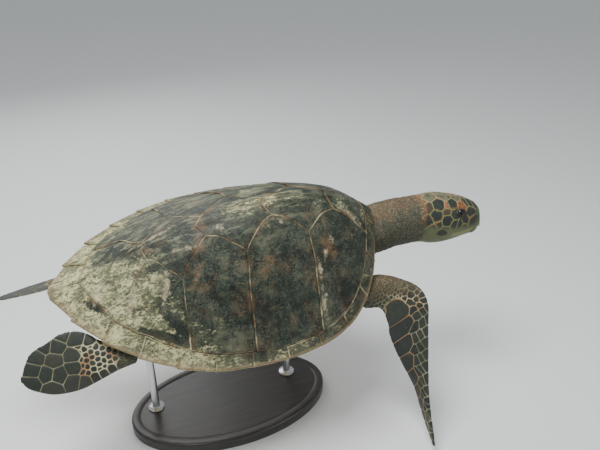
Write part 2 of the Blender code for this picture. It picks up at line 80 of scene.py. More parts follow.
def profile(*pairs):
    """A smooth curve through (where, value) pairs. The values may be vectors."""
    at = np.array([p[0] for p in pairs], float)
    value = np.array([p[1] for p in pairs], float)
    slope = np.gradient(value, at, axis=0)

    def read(where):
        where = np.clip(np.asarray(where, float), at[0], at[-1])
        i = np.clip(np.searchsorted(at, where, side="right") - 1, 0, len(at) - 2)
        span = at[i + 1] - at[i]
        t = (where - at[i]) / span
        if value.ndim > 1:
            t, span = t[..., None], span[..., None]
        start = (1 + 2 * t) * (1 - t) ** 2 * value[i] + t * (1 - t) ** 2 * span * slope[i]
        end = t * t * (3 - 2 * t) * value[i + 1] + t * t * (t - 1) * span * slope[i + 1]
        return start + end

    return read


def even(stops, count):
    """Rows through the stops, smoothly, at even steps along their first three columns."""
    stops = np.array(stops, float)
    run = np.concatenate([[0], np.cumsum(np.linalg.norm(np.diff(stops[:, :3], axis=0), axis=1))])
    read = profile(*zip(run, stops))
    return read(np.linspace(0, run[-1], count))


def wobble(points, scale, seed):
    """Smooth noise in -1..1 at points, the same on every run."""
    rng = np.random.default_rng(seed)
    total = np.zeros(np.asarray(points).shape[:-1])
    for k in range(7):
        way = unit(rng.normal(size=np.asarray(points).shape[-1]))
        total += np.sin(np.asarray(points) @ way * scale * (0.7 + 0.25 * k) + rng.uniform(0, 6.28))
    return total / 3.2


def add_fields(mesh, fields):
    """Gives the mesh per-point values that its material reads."""
    for key, values in fields.items():
        values = np.asarray(values, np.float32)
        kind, part = ("FLOAT", "value") if values.ndim == 1 else ("FLOAT_VECTOR", "vector")
        mesh.attributes.new(key, kind, "POINT").data.foreach_set(part, values.ravel())


def show(name, mesh):
    """Puts a smooth-shaded mesh in the scene."""
    mesh.polygons.foreach_set("use_smooth", np.ones(len(mesh.polygons), bool))
    obj = bpy.data.objects.new(name, mesh)
    bpy.context.scene.collection.objects.link(obj)
    return obj


def new_mesh(name, points, faces, fields=None):
    """An object from points in the room and the values at them."""
    mesh = bpy.data.meshes.new(name)
    mesh.from_pydata(np.asarray(points, float).tolist(), [], faces)
    add_fields(mesh, fields or {})
    return show(name, mesh)


def grid_faces(rows, columns, start=0, closed=False):
    """Quads of a grid of points kept row by row."""
    wrap = columns if closed else columns - 1
    r, c = np.meshgrid(np.arange(rows - 1), np.arange(wrap), indexing="ij")
    a = start + r * columns + c
    b = start + r * columns + (c + 1) % columns
    return np.stack([a, b, b + columns, a + columns], axis=-1).reshape(-1, 4).tolist()


def tube_faces(rings, count, start=0):
    """Quads of a tube kept ring by ring, and a face over each of its ends."""
    ends = [list(range(first, first + count)) for first in (start, start + (rings - 1) * count)]
    return grid_faces(rings, count, start, closed=True) + ends


def grid_border(rows, columns):
    """The outer points of a grid, once round."""
    index = np.arange(rows * columns).reshape(rows, columns)
    return np.concatenate([index[0, :-1], index[:-1, -1], index[-1, :0:-1], index[:0:-1, 0]])


def skirt_faces(border, first, rings):
    """Quads from a border through rings of points, numbered from first, and a face over the last."""
    faces, above = [], border
    for fresh in first + np.arange(rings * len(border)).reshape(rings, -1):
        faces += np.stack([above, np.roll(above, -1), np.roll(fresh, -1), fresh], axis=1).tolist()
        above = fresh
    return faces + [above.tolist()]


def outward(obj):
    """Turns every face outward."""
    shape = bmesh.new()
    shape.from_mesh(obj.data)
    bmesh.ops.recalc_face_normals(shape, faces=shape.faces)
    shape.to_mesh(obj.data)
    shape.free()
    return obj


def finish_piece(obj, material, slot, *nodes):
    """Gives a piece its material and the nodes that it takes the place of."""
    obj.data.materials.append(material)
    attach(obj, "root")
    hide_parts(*nodes)


# ---- the shell's surface ---------------------------------------------------------------
# Half widths and heights are read at a station s, and BAND, the marginal plates' width, at v.

HALF_WIDTH = profile((.012, .040), (.028, .095), (.055, .165), (.09, .222), (.14, .275), (.21, .315),
                     (.33, .345), (.485, .347), (.64, .322), (.794, .247), (.90, .160), (.96, .085), (1, .02))
KEEL = profile((0, .152), (.05, .185), (.12, .232), (.20, .260), (.33, .272), (.485, .256),
               (.64, .209), (.794, .138), (.928, .076), (1, .055))
RIM = profile((0, .130), (.02, .110), (.05, .078), (.09, .046), (.14, .018), (.20, .001), (.33, -.010),
              (.485, -.012), (.64, -.007), (.794, .010), (.928, .034), (1, .050))
BELLY = profile((.07, -.048), (.10, -.060), (.20, -.085), (.35, -.100), (.50, -.105), (.65, -.100),
                (.80, -.080), (.90, -.040))
PLASTRON_HALF = profile((.13, .050), (.18, .105), (.28, .180), (.45, .215), (.60, .200), (.75, .125),
                        (.86, .060))
BAND = profile((0, .042), (.15, .036), (.30, .028), (.45, .026), (.60, .034), (.75, .046), (.88, .058),
               (1, .084))
PLASTRON_START, PLASTRON_END = .13, .86
FRONT = 0.012
NUCHAL_END = 0.035
MARGINALS = 12
TOOTH = 0.008
KEEL_SEAMS = (.190, .393, .588, .744)
SEAM_ENDS = ((.177, .037), (.377, .034), (.566, .035), (.735, .034))
WAISTS = ((.275, .096), (.469, .110), (.652, .120))
LAST_WAIST = (.792, .098)
SEAM_CORNERS = sorted(s for s, _ in (*SEAM_ENDS, *WAISTS, LAST_WAIST))


def shell_height(s, y):
    """The height of the carapace over the animal's middle."""
    t = np.minimum(np.abs(y) / HALF_WIDTH(s), 1)
    return RIM(s) + (KEEL(s) - RIM(s)) * (1 - t ** 1.62) ** 1.15


def on_shell(flat):
    s, y = flat[..., 0], flat[..., 1]
    return np.stack([0.5 - s, y, shell_height(s, y)], axis=-1)


def eased(inward, reach):
    """Directions averaged with their neighbours, as if the other side went on from this one."""
    other = inward * (1, -1)
    whole = np.concatenate([other[reach:0:-1], inward, other[-2:-2 - reach:-1]])
    window = np.ones(2 * reach + 1)
    soft = np.stack([np.convolve(whole[:, k], window, "valid") for k in (0, 1)], axis=1)
    return unit(soft)


def outline_rings(count=600):
    """The shell's edge and the inner edge of its marginal plates, for one side, front to rear."""
    wide = HALF_WIDTH(np.linspace(FRONT, 1, 400)[1:])
    edge = [np.stack([np.full(20, FRONT), np.linspace(0, HALF_WIDTH(FRONT), 20)], axis=1),
            np.stack([np.linspace(FRONT, 1, 400)[1:], wide], axis=1),
            np.stack([np.ones(9), np.linspace(HALF_WIDTH(1), 0, 10)[1:]], axis=1)]
    edge = np.concatenate(edge)
    run = np.concatenate([[0], np.cumsum(np.hypot(*np.diff(edge, axis=0).T))])
    run /= run[-1]
    v = np.linspace(0, 1, count)
    outer = np.stack([np.interp(v, run, edge[:, 0]), np.interp(v, run, edge[:, 1])], axis=1)
    ahead = unit(np.gradient(outer, v, axis=0))
    inward = eased(np.stack([ahead[:, 1], -ahead[:, 0]], axis=1), count // 12)
    inner = outer + inward * BAND(v)[:, None]
    inner[:, 1] = np.maximum(inner[:, 1], 0)
    return v, outer, inner, -inward


RING_V, RING_OUTER, RING_INNER, RING_OUTWARD = outline_rings()


def ring(table, v):
    """Points of a ring. v goes 0 to 1 down the right side and 1 to 2 back up the left."""
    v = np.asarray(v, float) % 2
    side = np.where(v <= 1, -1, 1)
    v = np.where(v <= 1, v, 2 - v)
    return np.stack([np.interp(v, RING_V, table[:, 0]), side * np.interp(v, RING_V, table[:, 1])], axis=-1)


def inner_at_station(s):
    return float(np.interp(s, RING_INNER[:, 0], RING_V))


def inner_half_width(s):
    return np.interp(s, RING_INNER[:, 0], RING_INNER[:, 1])


FRONT_V = float(np.interp(.085, RING_INNER[:200, 1], RING_V[:200]))
COSTAL_V = (FRONT_V,) + tuple(inner_at_station(s) for s in (.275, .485, .665, .868))


# ---- horn plates of the carapace -------------------------------------------------------

PLATE_STEP = .0016
GROWTH_RINGS = 9
EDGE_RINGS = ((.25, .35, 0), (.25, 1.0, 0), (-.6, 3.3, 1.6))    # push out, drop, less drop behind, in mm


def along(points):
    """A path through points, each stretch taking an equal share."""
    points = np.array(points, float)
    shares = np.linspace(0, 1, len(points))
    return lambda u: np.stack([np.interp(u, shares, points[:, k]) for k in (0, 1)], axis=-1)


def around(start, end):
    return lambda u: ring(RING_INNER, start + (end - start) * np.asarray(u, float))


def mirrored(point):
    return point[0], -point[1]


def sway(flat):
    """Bows and wanders the seams between plates a little, alike for both neighbours."""
    s, y = flat[..., 0], flat[..., 1]
    between = np.interp(s, SEAM_CORNERS, np.arange(len(SEAM_CORNERS)))
    near_waist = smooth_step(.015, .05, np.abs(y)) * smooth_step(.16, .10, np.abs(y))
    y = y - np.sign(y) * .009 * np.abs(np.sin(np.pi * between)) * near_waist
    flat = np.stack([s, y], axis=-1)
    calm = smooth_step(0, .04, np.abs(y) + 0.4 * np.abs(s - .5)) * smooth_step(0.30, 0.2, np.abs(y))
    return np.stack([s + calm * .0022 * wobble(flat, 42, 5), y + calm * .0022 * wobble(flat, 47, 6)], axis=-1)


def run_lengths(p, axis):
    """How far each point of a grid is from the grid's first one along an axis."""
    step = np.linalg.norm(np.diff(p, axis=axis), axis=-1)
    zero = np.zeros_like(np.take(step, [0], axis=axis))
    return np.concatenate([zero, np.cumsum(step, axis=axis)], axis=axis)


def pale_share(s, y):
    """How far crust and wear have paled the shell: least on the flanks, most at the rear."""
    start = s + .12 * smooth_step(.14, .30, np.abs(y)) - .04 * np.exp(-((y - .05) / .08) ** 2)
    start = start - .15 * smooth_step(-.05, .06, y) * smooth_step(.98, .84, s)
    rear = smooth_step(.60, .88, start)
    crown = .50 * np.exp(-((y - .012) / .050) ** 2) * smooth_step(.20, .33, s) * smooth_step(.60, .42, s)
    front = .38 * np.exp(-((y + .02) / .075) ** 2) * smooth_step(.26, .06, s)
    far = .22 * smooth_step(.03, .12, y)
    patch = wobble(np.stack([s, y], axis=-1), 30, 11)
    light = .13 + np.maximum.reduce([crown, front, far])
    return np.clip(light * (1 - rear) + rear + .10 * patch * (1 - .4 * rear), 0, 1)


# Marks in the horn: station, y, half length, half width, and degrees from the midline. The dark ones are
# partly dark horn and partly painted shade, as along stepped seams.
AMBER_MARKS = (
    (.425, -.153, .044, .018, -36), (.577, -.007, .017, .010, 20), (.537, .045, .010, .008, 0),
    (.732, -.013, .017, .011, 10), (.386, -.002, .015, .013, 60), (.262, -.190, .024, .008, 90),
    (.225, -.130, .040, .026, 60), (.610, -.120, .024, .012, -50), (.560, .140, .030, .014, 40),
    (.330, .170, .026, .012, 80),
)
CREAM_MARKS = (
    (.261, -.186, .022, .009, 90), (.392, .000, .016, .008, 40), (.354, -.062, .008, .006, 0),
    (.455, .006, .060, .009, 4), (.208, -.118, .014, .007, 30), (.236, -.150, .014, .007, 120),
    (.526, -.031, .013, .009, 60), (.262, -.250, .040, .012, 90), (.640, -.050, .050, .008, 8),
    (.700, .030, .060, .008, -6), (.120, -.050, .040, .014, 30), (.700, -.120, .014, .050, 20),
    (.800, -.120, .014, .060, 25), (.880, -.060, .012, .040, 30),
)
# The dark marks are partly dark horn and partly painted shade, as along stepped seams.
DARK_AND_SHADE_MARKS = (
    (.690, -.210, .060, .012, 55), (.722, -.226, .080, .009, 31), (.893, -.088, .036, .010, 46),
    (.640, -.020, .060, .020, 0), (.770, .030, .055, .016, 5), (.700, -.070, .040, .012, 12),
    (.610, -.225, .030, .012, 40),
)


def mark_shares(s, y):
    """How strongly the amber, cream and dark marks show at each place; the dark ones are partly painted
    shade.
    """
    shares = np.zeros(np.shape(s) + (3,))
    for k, marks in enumerate((AMBER_MARKS, CREAM_MARKS, DARK_AND_SHADE_MARKS)):
        for at_s, at_y, long, wide, turn in marks:
            c, n = math.cos(math.radians(turn)), math.sin(math.radians(turn))
            a = ((s - at_s) * c + (y - at_y) * n) / long
            b = ((y - at_y) * c - (s - at_s) * n) / wide
            shares[..., k] = np.maximum(shares[..., k], np.exp(-.6 * (a * a + b * b)))
    return shares


def comb_share(s, y):
    """Where wear has combed the horn lengthwise: along the crown and the far side."""
    over = smooth_step(-.10, -.02, y + .03 * np.sin(s * 19))
    return over * smooth_step(.16, .30, s) * smooth_step(.96, .80, s)


def horn_plate(name, flat, areola, keel, seed):
    """A plate from a grid of (s, y): rows run front to rear, columns across.

    areola is where its growth rings start, as shares of the way across and down.
    """
    rows, columns = flat.shape[:2]
    p = on_shell(sway(flat))
    tv, tu = (unit(np.gradient(p, axis=k)) for k in (0, 1))
    normal = unit(np.cross(tu, tv))
    if normal[..., 2].mean() < 0:
        normal = -normal
    down, across = (run_lengths(p, k) for k in (0, 1))
    gaps = (down, down[-1:] - down, across, across[:, -1:] - across)
    ways = (-tv[:1], tv[-1:], -tu[:, :1], tu[:, -1:])
    u = np.linspace(0, 1, columns)[None, :]
    v = np.linspace(0, 1, rows)[:, None]
    q_u, q_v = (np.where(k > a, (k - a) / (1 - a), (a - k) / a) for k, a in zip((u, v), areola))
    q = (q_u ** 5 + q_v ** 5) ** .2
    turn = np.arctan2(v - areola[1], u - areola[0])
    # Growth rings, rays, worn lumps, raised rear edges over sunk front ones, and the keel.
    rings_at = q + .035 * wobble(p, 30, seed)
    worn_through = smooth_step(.15, .5, q) * smooth_step(-.5, .8, wobble(p, 12, seed + 3))
    lift = .05 * np.cos(2 * np.pi * GROWTH_RINGS * rings_at) * worn_through
    lift += .07 * np.sin(turn * 23 + 3 * wobble(p, 14, seed + 1)) * smooth_step(.1, .7, q)
    lift += .34 * wobble(p, 55, seed + 2) + .10 * wobble(p, 170, seed + 4)
    move = np.zeros_like(p)
    for gap, way in zip(gaps, ways):
        rear = -way[..., 0]
        extend = -.35 + 1.9 * np.clip(rear, 0, 1)
        move += way * (extend * MM)[..., None] * np.exp(-gap / (4 * MM))[..., None]
        lift = lift + (1.5 * np.clip(rear, -.7, 1)) * np.exp(-(gap / (9 * MM)) ** 1.5)
    ridge = np.exp(-(p[..., 1] / .010) ** 2) * smooth_step(0, .8, v)
    lift += keel * 3.2 * ridge * (1 - .55 * smooth_step(.93, 1, v))
    p = p + move + normal * (lift * MM)[..., None]
    s, y = 0.5 - p[..., 0], p[..., 1]
    streak = np.stack([turn * 2.2, q, np.full_like(q, seed * 7.3)], axis=-1)
    fields = {"margin": np.minimum.reduce(gaps) / MM, "pale": pale_share(s, y), "rings": q,
              "comb": comb_share(s, y), "streak": streak, "marks": mark_shares(s, y)}
    # The plate's edge turns down all round.
    border = grid_border(rows, columns)
    spread = np.zeros_like(p)
    for way, side in zip(ways, (np.s_[:1], np.s_[-1:], np.s_[:, :1], np.s_[:, -1:])):
        spread[side] += way
    out = unit(spread.reshape(-1, 3)[border])
    back = np.clip(-out[:, 0], 0, 1)
    edge, up = (grid.reshape(-1, 3)[border] for grid in (p, normal))
    points = [p.reshape(-1, 3)]
    for push, drop, less_behind in EDGE_RINGS:
        points.append(edge + out * (push * MM) - up * ((drop - less_behind * back) * MM)[:, None])
    for key, values in fields.items():
        flat_values = values.reshape((rows * columns,) + values.shape[2:])
        fields[key] = np.concatenate([flat_values]
                                     + [flat_values[border] * (key != "margin")] * len(EDGE_RINGS))
    faces = grid_faces(rows, columns) + skirt_faces(border, rows * columns, len(EDGE_RINGS))
    return outward(new_mesh(name, to_world(np.concatenate(points)), faces, fields))


def patch(front, rear, first, second):
    """A grid of (s, y) between four paths: front and rear run across, first and second run down."""
    t = np.linspace(0, 1, 40)

    def steps(*paths):
        longest = max(np.linalg.norm(np.diff(on_shell(path(t)), axis=0), axis=1).sum() for path in paths)
        return np.linspace(0, 1, int(longest * SHELL_LENGTH / PLATE_STEP) + 2)

    u, v = steps(front, rear), steps(first, second)
    a, b, c, d = front(u)[None], rear(u)[None], first(v)[:, None], second(v)[:, None]
    u, v = u[None, :, None], v[:, None, None]
    corner = [path(np.array([k]))[0] for path in (front, rear) for k in (0, 1)]
    counted_twice = (corner[0] * (1 - u) * (1 - v) + corner[1] * u * (1 - v)
                     + corner[2] * (1 - u) * v + corner[3] * u * v)
    return a * (1 - v) + b * v + c * (1 - u) + d * u - counted_twice


def seam_across(i):
    end = SEAM_ENDS[i]
    return along([mirrored(end), (KEEL_SEAMS[i], 0), end])


def build_carapace(material):
    """Builds each plate from its name, its four paths, where its growth rings start and its keel."""
    corner = tuple(ring(RING_INNER, FRONT_V))
    plates = [("vertebral_1", around(FRONT_V, -FRONT_V), seam_across(0),
               along([corner, mirrored(SEAM_ENDS[0])]), along([mirrored(corner), SEAM_ENDS[0]]),
               (.5, .75), 1)]
    for i in range(3):
        stops = (SEAM_ENDS[i], WAISTS[i], SEAM_ENDS[i + 1])
        plates.append(("vertebral_%d" % (i + 2), seam_across(i), seam_across(i + 1),
                       along([mirrored(p) for p in stops]), along(stops), (.5, .72), 1))
    last = COSTAL_V[4]
    corner = tuple(ring(RING_INNER, last))
    plates.append(("vertebral_5", seam_across(3), around(last, 2 - last),
                   along([mirrored(SEAM_ENDS[3]), mirrored(LAST_WAIST), corner]),
                   along([SEAM_ENDS[3], LAST_WAIST, mirrored(corner)]), (.5, .55), 1))
    tops = ((SEAM_ENDS[0], WAISTS[0]), (WAISTS[0], SEAM_ENDS[1], WAISTS[1]),
            (WAISTS[1], SEAM_ENDS[2], WAISTS[2]), (WAISTS[2], SEAM_ENDS[3]))
    for word, side in (("right", -1), ("left", 1)):
        for i, stops in enumerate(tops):
            start, end = COSTAL_V[i], COSTAL_V[i + 1]
            rim = around(start, end) if side < 0 else around(2 - start, 2 - end)
            top = [(s, y * side) for s, y in stops]
            low_front, low_rear = (tuple(corner) for corner in rim(np.array([0, 1.])))
            rear = [top[-1], low_rear]
            if i == 3:
                rear.insert(1, (LAST_WAIST[0], LAST_WAIST[1] * side))
            plates.append(("costal_%s_%d" % (word, i + 1), along([top[0], low_front]), along(rear),
                           along(top), rim, (.30, .68), 0))
    for seed, (name, *paths, areola, keel) in enumerate(plates, 1):
        finish_piece(horn_plate(name + "_horn", patch(*paths), areola, keel, seed), material, "scute", name)


# ---- marginal plates -------------------------------------------------------------------

RIM_STEP = .0017
RIM_POINTS = 22
RIM_THICK = 5.4 * MM
RIM_ROUND = 1.25    # how much longer the shell's edge is than its v


def rim_section(v, reach):
    """A closed section of a marginal plate at v: over the rim, which reaches out, and back below.

    Returns its points, each one's share of the way out, and whether it is under the rim.
    """
    inner, edge = ring(RING_INNER, v), ring(RING_OUTER, v)
    out = unit(ring(RING_OUTWARD, v))
    inner = inner + unit(edge - inner) * .35 * MM
    rim_z = float(shell_height(*edge))
    a = np.linspace(0, 1, RIM_POINTS)
    over = inner + (edge + out * reach - inner) * a[:, None]
    on = inner + (edge - inner) * a[:, None]
    over_z = shell_height(on[:, 0], on[:, 1])
    over_z = over_z + MM * (1.0 * np.exp(-((a - .93) / .10) ** 2) - .8 * np.exp(-(a / .10) ** 2))
    turn = np.linspace(0, np.pi, 9)[1:-1]
    curve = edge + out * reach + out[None] * (np.sin(turn) * 1.3 * MM)[:, None]
    curve_z = rim_z - RIM_THICK / 2 + np.cos(turn) * RIM_THICK / 2 + .35 * MM
    b = np.linspace(1, 0, 14)
    low = inner + (edge + out * reach * .9 - inner) * b[:, None]
    cave = shell_height(*(inner + (edge - inner) * b[:, None]).T) - 6.4 * MM
    low_z = np.minimum(np.minimum(rim_z - RIM_THICK + .4 * MM, cave), rim_z + (1 - b) * .2)
    joint = np.interp(.45, b[::-1], low_z[::-1])
    root = float(shell_height(*inner)) - 5.25 * MM
    low_z = np.where(b < .45, np.interp(b, [0, .45], [root, joint]), low_z)
    flat = np.concatenate([over, curve, low])
    z = np.concatenate([over_z, curve_z, low_z])
    share = np.concatenate([a, np.ones(len(turn)), b])
    under = np.concatenate([0 * a, np.linspace(0, 1, len(turn)), 1 + 0 * b])
    return np.stack([0.5 - flat[:, 0], flat[:, 1], z], axis=1), share, under


def rim_plate(node, start, end, teeth, material, seed):
    """A marginal plate from v start to v end, whose rear corner reaches out by teeth."""
    length = abs(end - start) * RIM_ROUND * SHELL_LENGTH
    share = np.linspace(0, 1, int(length / RIM_STEP) + 4)
    overlap = (.9 * share ** 6 - .35 * (1 - share) ** 6) * MM / RIM_ROUND * np.sign(end - start)
    sections = [rim_section(start + (end - start) * k + over, teeth * k ** 2)
                for k, over in zip(share, overlap)]
    p, a, under = (np.array(column) for column in zip(*sections))
    share = share[:, None] + 0 * a
    centre = p.mean(axis=1, keepdims=True)
    normal = unit(np.cross(unit(np.gradient(p, axis=1)), unit(np.gradient(p, axis=0))))
    normal = normal * np.sign(((p - centre) * normal).sum(-1).mean())
    front_gap, rear_gap = share * length * 1000, (1 - share) * length * 1000
    wide_mm = np.linalg.norm(p[:, 0] - p[:, RIM_POINTS - 1], axis=-1)[:, None] / MM
    inner_gap, outer_gap = a * wide_mm, (1 - a) * wide_mm
    top = 1 - under
    lift = (1.1 * np.exp(-(rear_gap / 7) ** 1.5) - .9 * np.exp(-(front_gap / 6) ** 1.5)) * top
    lift += .22 * wobble(p, 60, seed) + .12 * np.cos(outer_gap * 1.6 + wobble(p, 30, seed + 1)) * top
    p = p + normal * (lift * MM)[..., None]
    s, y = 0.5 - p[..., 0], p[..., 1]
    pale = .30 + .15 * smooth_step(.24, .36, s) + .50 * smooth_step(.54, .74, s) + .12 * wobble(p, 24, 12)
    q = np.maximum(np.abs(share - .6) * 1.6, a)
    streak = np.stack([np.arctan2(a + .25, share - .75) * 2.2, q, np.full_like(q, seed * 5.1)], axis=-1)
    fields = {"margin": np.minimum(np.minimum(front_gap, rear_gap), inner_gap + 40 * under),
              "pale": np.clip(pale, 0, 1), "rings": q, "streak": streak, "comb": comb_share(s, y),
              "marks": mark_shares(s, y), "edge": outer_gap + 3 * under, "under": under}
    # Each end closes over a slightly smaller ring.
    first, last = (centre[k, 0] + (p[k] - centre[k]) * .9 for k in (0, -1))
    first -= unit(p[1] - p[0]) * .3 * MM
    last += unit(p[-1] - p[-2]) * .3 * MM
    for key, x in fields.items():
        fields[key] = np.concatenate([x[:1], x, x[-1:]]).reshape((-1,) + x.shape[2:])
    points = np.concatenate([first[None], p, last[None]])
    faces = tube_faces(*points.shape[:2])
    obj = outward(new_mesh(node + "_horn", to_world(points.reshape(-1, 3)), faces, fields))
    finish_piece(obj, material, "scute", node)


def build_margin(material):
    """The nuchal plate in front and twelve marginal plates down each side, saw-edged at the rear."""
    rim_plate("nuchal", -NUCHAL_END, NUCHAL_END, 0, material, 60)
    step = (1 - NUCHAL_END) / MARGINALS
    for i in range(MARGINALS):
        start = NUCHAL_END + i * step
        end = start + step
        teeth = TOOTH * max(0, i - 4) / 7
        rim_plate("marginal_right_%d" % (i + 1), start, end, teeth, material, 61 + i)
        rim_plate("marginal_left_%d" % (i + 1), 2 - start, 2 - end, teeth, material, 81 + i)


# ---- the plastron ----------------------------------------------------------------------

PLASTRAL_SEAMS = (.245, .375, .505, .635, .755)


def belly_height(s, y):
    """The height of the body's underside, which rises to the rim at each side."""
    wall = inner_half_width(s) - 0.004
    edge = RIM(s) - 0.014
    share = np.minimum(np.abs(y) / wall, 1)
    return BELLY(s) + (edge - BELLY(s)) * share ** 3


def build_plastron(material):
    """One plate under the belly, grooved along its seams, with a low ridge down each side."""
    s = np.linspace(PLASTRON_START, PLASTRON_END, 300)[:, None]
    a = np.linspace(-1, 1, 150)[None, :]
    s = s + 0 * a
    y = a * PLASTRON_HALF(s)
    end = np.minimum(s - PLASTRON_START, PLASTRON_END - s) / MM
    side = (PLASTRON_HALF(s) - np.abs(y)) / MM
    middle = np.abs(y + .0012 * np.sin(s * 70)) / MM
    crossing = [np.abs(s - k + .012 * np.sin(np.abs(y) * 22 + k * 30)) for k in PLASTRAL_SEAMS]
    seam = np.minimum(middle, np.minimum.reduce(crossing) / MM)
    p = np.stack([0.5 - s, y, belly_height(s, y) - 7.4 * MM], axis=-1)
    swell = .8 * (1 - np.exp(-seam / 14)) * smooth_step(0, 12, np.minimum(end, side))
    groove = 1.1 * np.exp(-(seam / 1.6) ** 2) - swell
    ridge = np.exp(-((np.abs(y) - .085) / .02) ** 2) * smooth_step(.2, .3, s) * smooth_step(.75, .6, s)
    p[..., 2] += (groove + .25 * wobble(p, 60, 31) - 1.4 * ridge) * MM
    p[..., 2] += np.exp(-np.minimum(end, side) / 2.2) * 2.6 * MM
    top = np.stack([0.5 - s, y * .992, belly_height(s, y) - 2.8 * MM], axis=-1)
    border = grid_border(*s.shape)
    points = np.concatenate([p.reshape(-1, 3), top.reshape(-1, 3)[border]])
    faces = grid_faces(*s.shape) + skirt_faces(border, s.size, 1)
    fields = {"seam": np.concatenate([seam.ravel(), np.full(len(border), 20.0)])}
    obj = outward(new_mesh("plastron_plates", to_world(points), faces, fields))
    finish_piece(obj, material, "plastron", "plastron")


# ---- the skin's forms ------------------------------------------------------------------

HEAD_START = np.array([0.6875, -0.022, 0.0895])
HEAD_DIRECTION = unit([0.982, -0.180, -0.055])
HEAD_ROLL = 37
EYE_RADIUS = 0.0165
EYE_PLACE = np.array([0.115, 0.0565, 0.027])


def ring_axes(ahead, roll):
    """(side, top) of a ring across ahead, its top leaning to the animal's left by roll degrees."""
    roll = np.radians(roll)
    lean = np.stack([0 * roll, np.sin(roll), np.cos(roll)], axis=-1)
    side = unit(np.cross(lean, ahead))
    return side, np.cross(ahead, side)


HEAD_SIDE, HEAD_TOP = ring_axes(HEAD_DIRECTION, HEAD_ROLL)


def from_head(p):
    """(ahead, left, up) to the animal's frame."""
    p = np.asarray(p, float)
    return HEAD_START + p[..., :1] * HEAD_DIRECTION + p[..., 1:2] * HEAD_SIDE + p[..., 2:] * HEAD_TOP


def to_head(p):
    """From the animal's frame to (ahead, left, up)."""
    d = p - HEAD_START
    return np.stack([d @ HEAD_DIRECTION, d @ HEAD_SIDE, d @ HEAD_TOP], axis=-1)


def egg_rings(stops, rows, count=72, power=2.2):
    """Rings through stops of centre, ahead, half width, up reach, down reach and roll."""
    row = even(stops, rows)
    ahead = unit(row[:, 3:6])
    side, top = ring_axes(ahead, row[:, 9])
    turn = np.linspace(0, 2 * np.pi, count, endpoint=False)
    c, n = np.cos(turn), np.sin(turn)
    wide = np.sign(c) * np.abs(c) ** (2 / power) * row[:, 6:7]
    tall = np.sign(n) * np.abs(n) ** (2 / power) * np.where(n > 0, row[:, 7:8], row[:, 8:9])
    return row[:, None, :3] + wide[..., None] * side[:, None] + tall[..., None] * top[:, None]


# Neck: centre, the way ahead, half width, up reach, down reach, roll. Head: ahead, then the same three.
NECK_STOPS = (
    ((.385, 0, .034), (1, 0, 0), .120, .075, .088, 0),
    ((.4295, 0, .040), (1, 0, 0), .110, .080, .087, 0),
    ((.460, 0, .043), (1, 0, 0), .091, .067, .086, 4),
    ((.490, 0, .048), (1, 0, 0), .083, .064, .085, 9),
    ((.535, -.003, .060), (1, 0, 0), .083, .075, .082, 18),
    ((.585, -.008, .072), (1, 0, 0), .080, .078, .078, 24),
    ((.635, -.014, .081), (.99, -.108, -.033), .077, .077, .079, 31),
)
HEAD_STOPS = (
    (.000, .075, .080, .083), (.030, .078, .086, .086), (.065, .079, .087, .084), (.100, .074, .084, .077),
    (.130, .065, .079, .069), (.155, .056, .073, .061), (.172, .050, .067, .057), (.189, .0425, .0600, .0520),
)


def neck_rows():
    """The neck and the head up to the beak."""
    stops = [(*centre, *unit(ahead), *reach) for centre, ahead, *reach in NECK_STOPS]
    stops += [(*(HEAD_START + HEAD_DIRECTION * ahead), *HEAD_DIRECTION, *reach, HEAD_ROLL)
              for ahead, *reach in HEAD_STOPS]
    return egg_rings(stops, 150)


def trunk_rows():
    """The body between carapace and plastron."""
    s = np.linspace(.072, .902, 120)[:, None]
    wall = inner_half_width(s) - .004
    share = np.cos(np.linspace(0, np.pi, 60))[None]
    y = wall * share
    step = .004
    along_x = (shell_height(s + step, y) - shell_height(s - step, y)) / (2 * step)
    along_y = (shell_height(s, np.abs(y)) - shell_height(s, np.abs(y) - 2 * step)) / (2 * step)
    steep = np.sqrt(1 + along_x ** 2 + along_y ** 2)
    top = np.stack([0.5 - s + 0 * y, y, shell_height(s, y) - (PLATE / SHELL_LENGTH + .003) * steep], axis=-1)
    y = wall * -share
    bottom = np.stack([0.5 - s + 0 * y, y, belly_height(s, y)], axis=-1)[:, 1:-1]
    return np.concatenate([top, bottom], axis=1)


def wedge_rows(start, end, spare):
    """Loose skin that closes the gap between the trunk and the rim above it. start is the outer station."""
    t = np.linspace(0, 1, 24)[:, None]
    s = start + (end - start) * t
    wall = np.minimum(HALF_WIDTH(s) - spare, inner_half_width(end) + .002)
    share = np.cos(np.linspace(0, np.pi, 40))[None]
    y = wall * share
    top_z = shell_height(s, y) - 10.0 * MM
    narrow = 1 - .75 * np.abs(share) ** 3
    deep = (top_z - BELLY(end) - .012) * np.sqrt(np.clip(t * (2 - t), 0, 1)) * narrow + .012
    top = np.stack([0.5 - s + 0 * y, y, top_z], axis=-1)
    bottom = np.stack([0.5 - s + 0 * y, y, top_z - deep], axis=-1)[:, ::-1][:, 1:-1]
    return np.concatenate([top, bottom], axis=1)


def tail_rows():
    stops = [(x, 0, z, -1, 0, 0, r, r * .9, r * .9, 0) for x, r, z in
             ((-.38, .034, -.002), (-.4028, .030, -.004), (-.425, .025, -.007), (-.450, .017, -.009),
              (-.470, .0115, -.0105), (-.484, .006, -.011), (-.487, .002, -.011))]
    return egg_rings(stops, 40, 32, 2)


def thigh_rows(limb, reach):
    """The thick upper leg from inside the body towards a hind flipper's root, reach times as far."""
    start = np.array(limb.shoulder[0])
    way = limb.root - start
    sizes = ((0, .062, .046), (.3, .060, .044), (.6, .052, .038), (.85, .042, .030), (1, .034, .020))
    stops = [(*(start + way * at * reach), *unit(way), wide, high, high, 0) for at, wide, high in sizes]
    return egg_rings(stops, 40, 40, 2)


THICKEST = .3    # where a limb's section is thickest, as a share of its chord


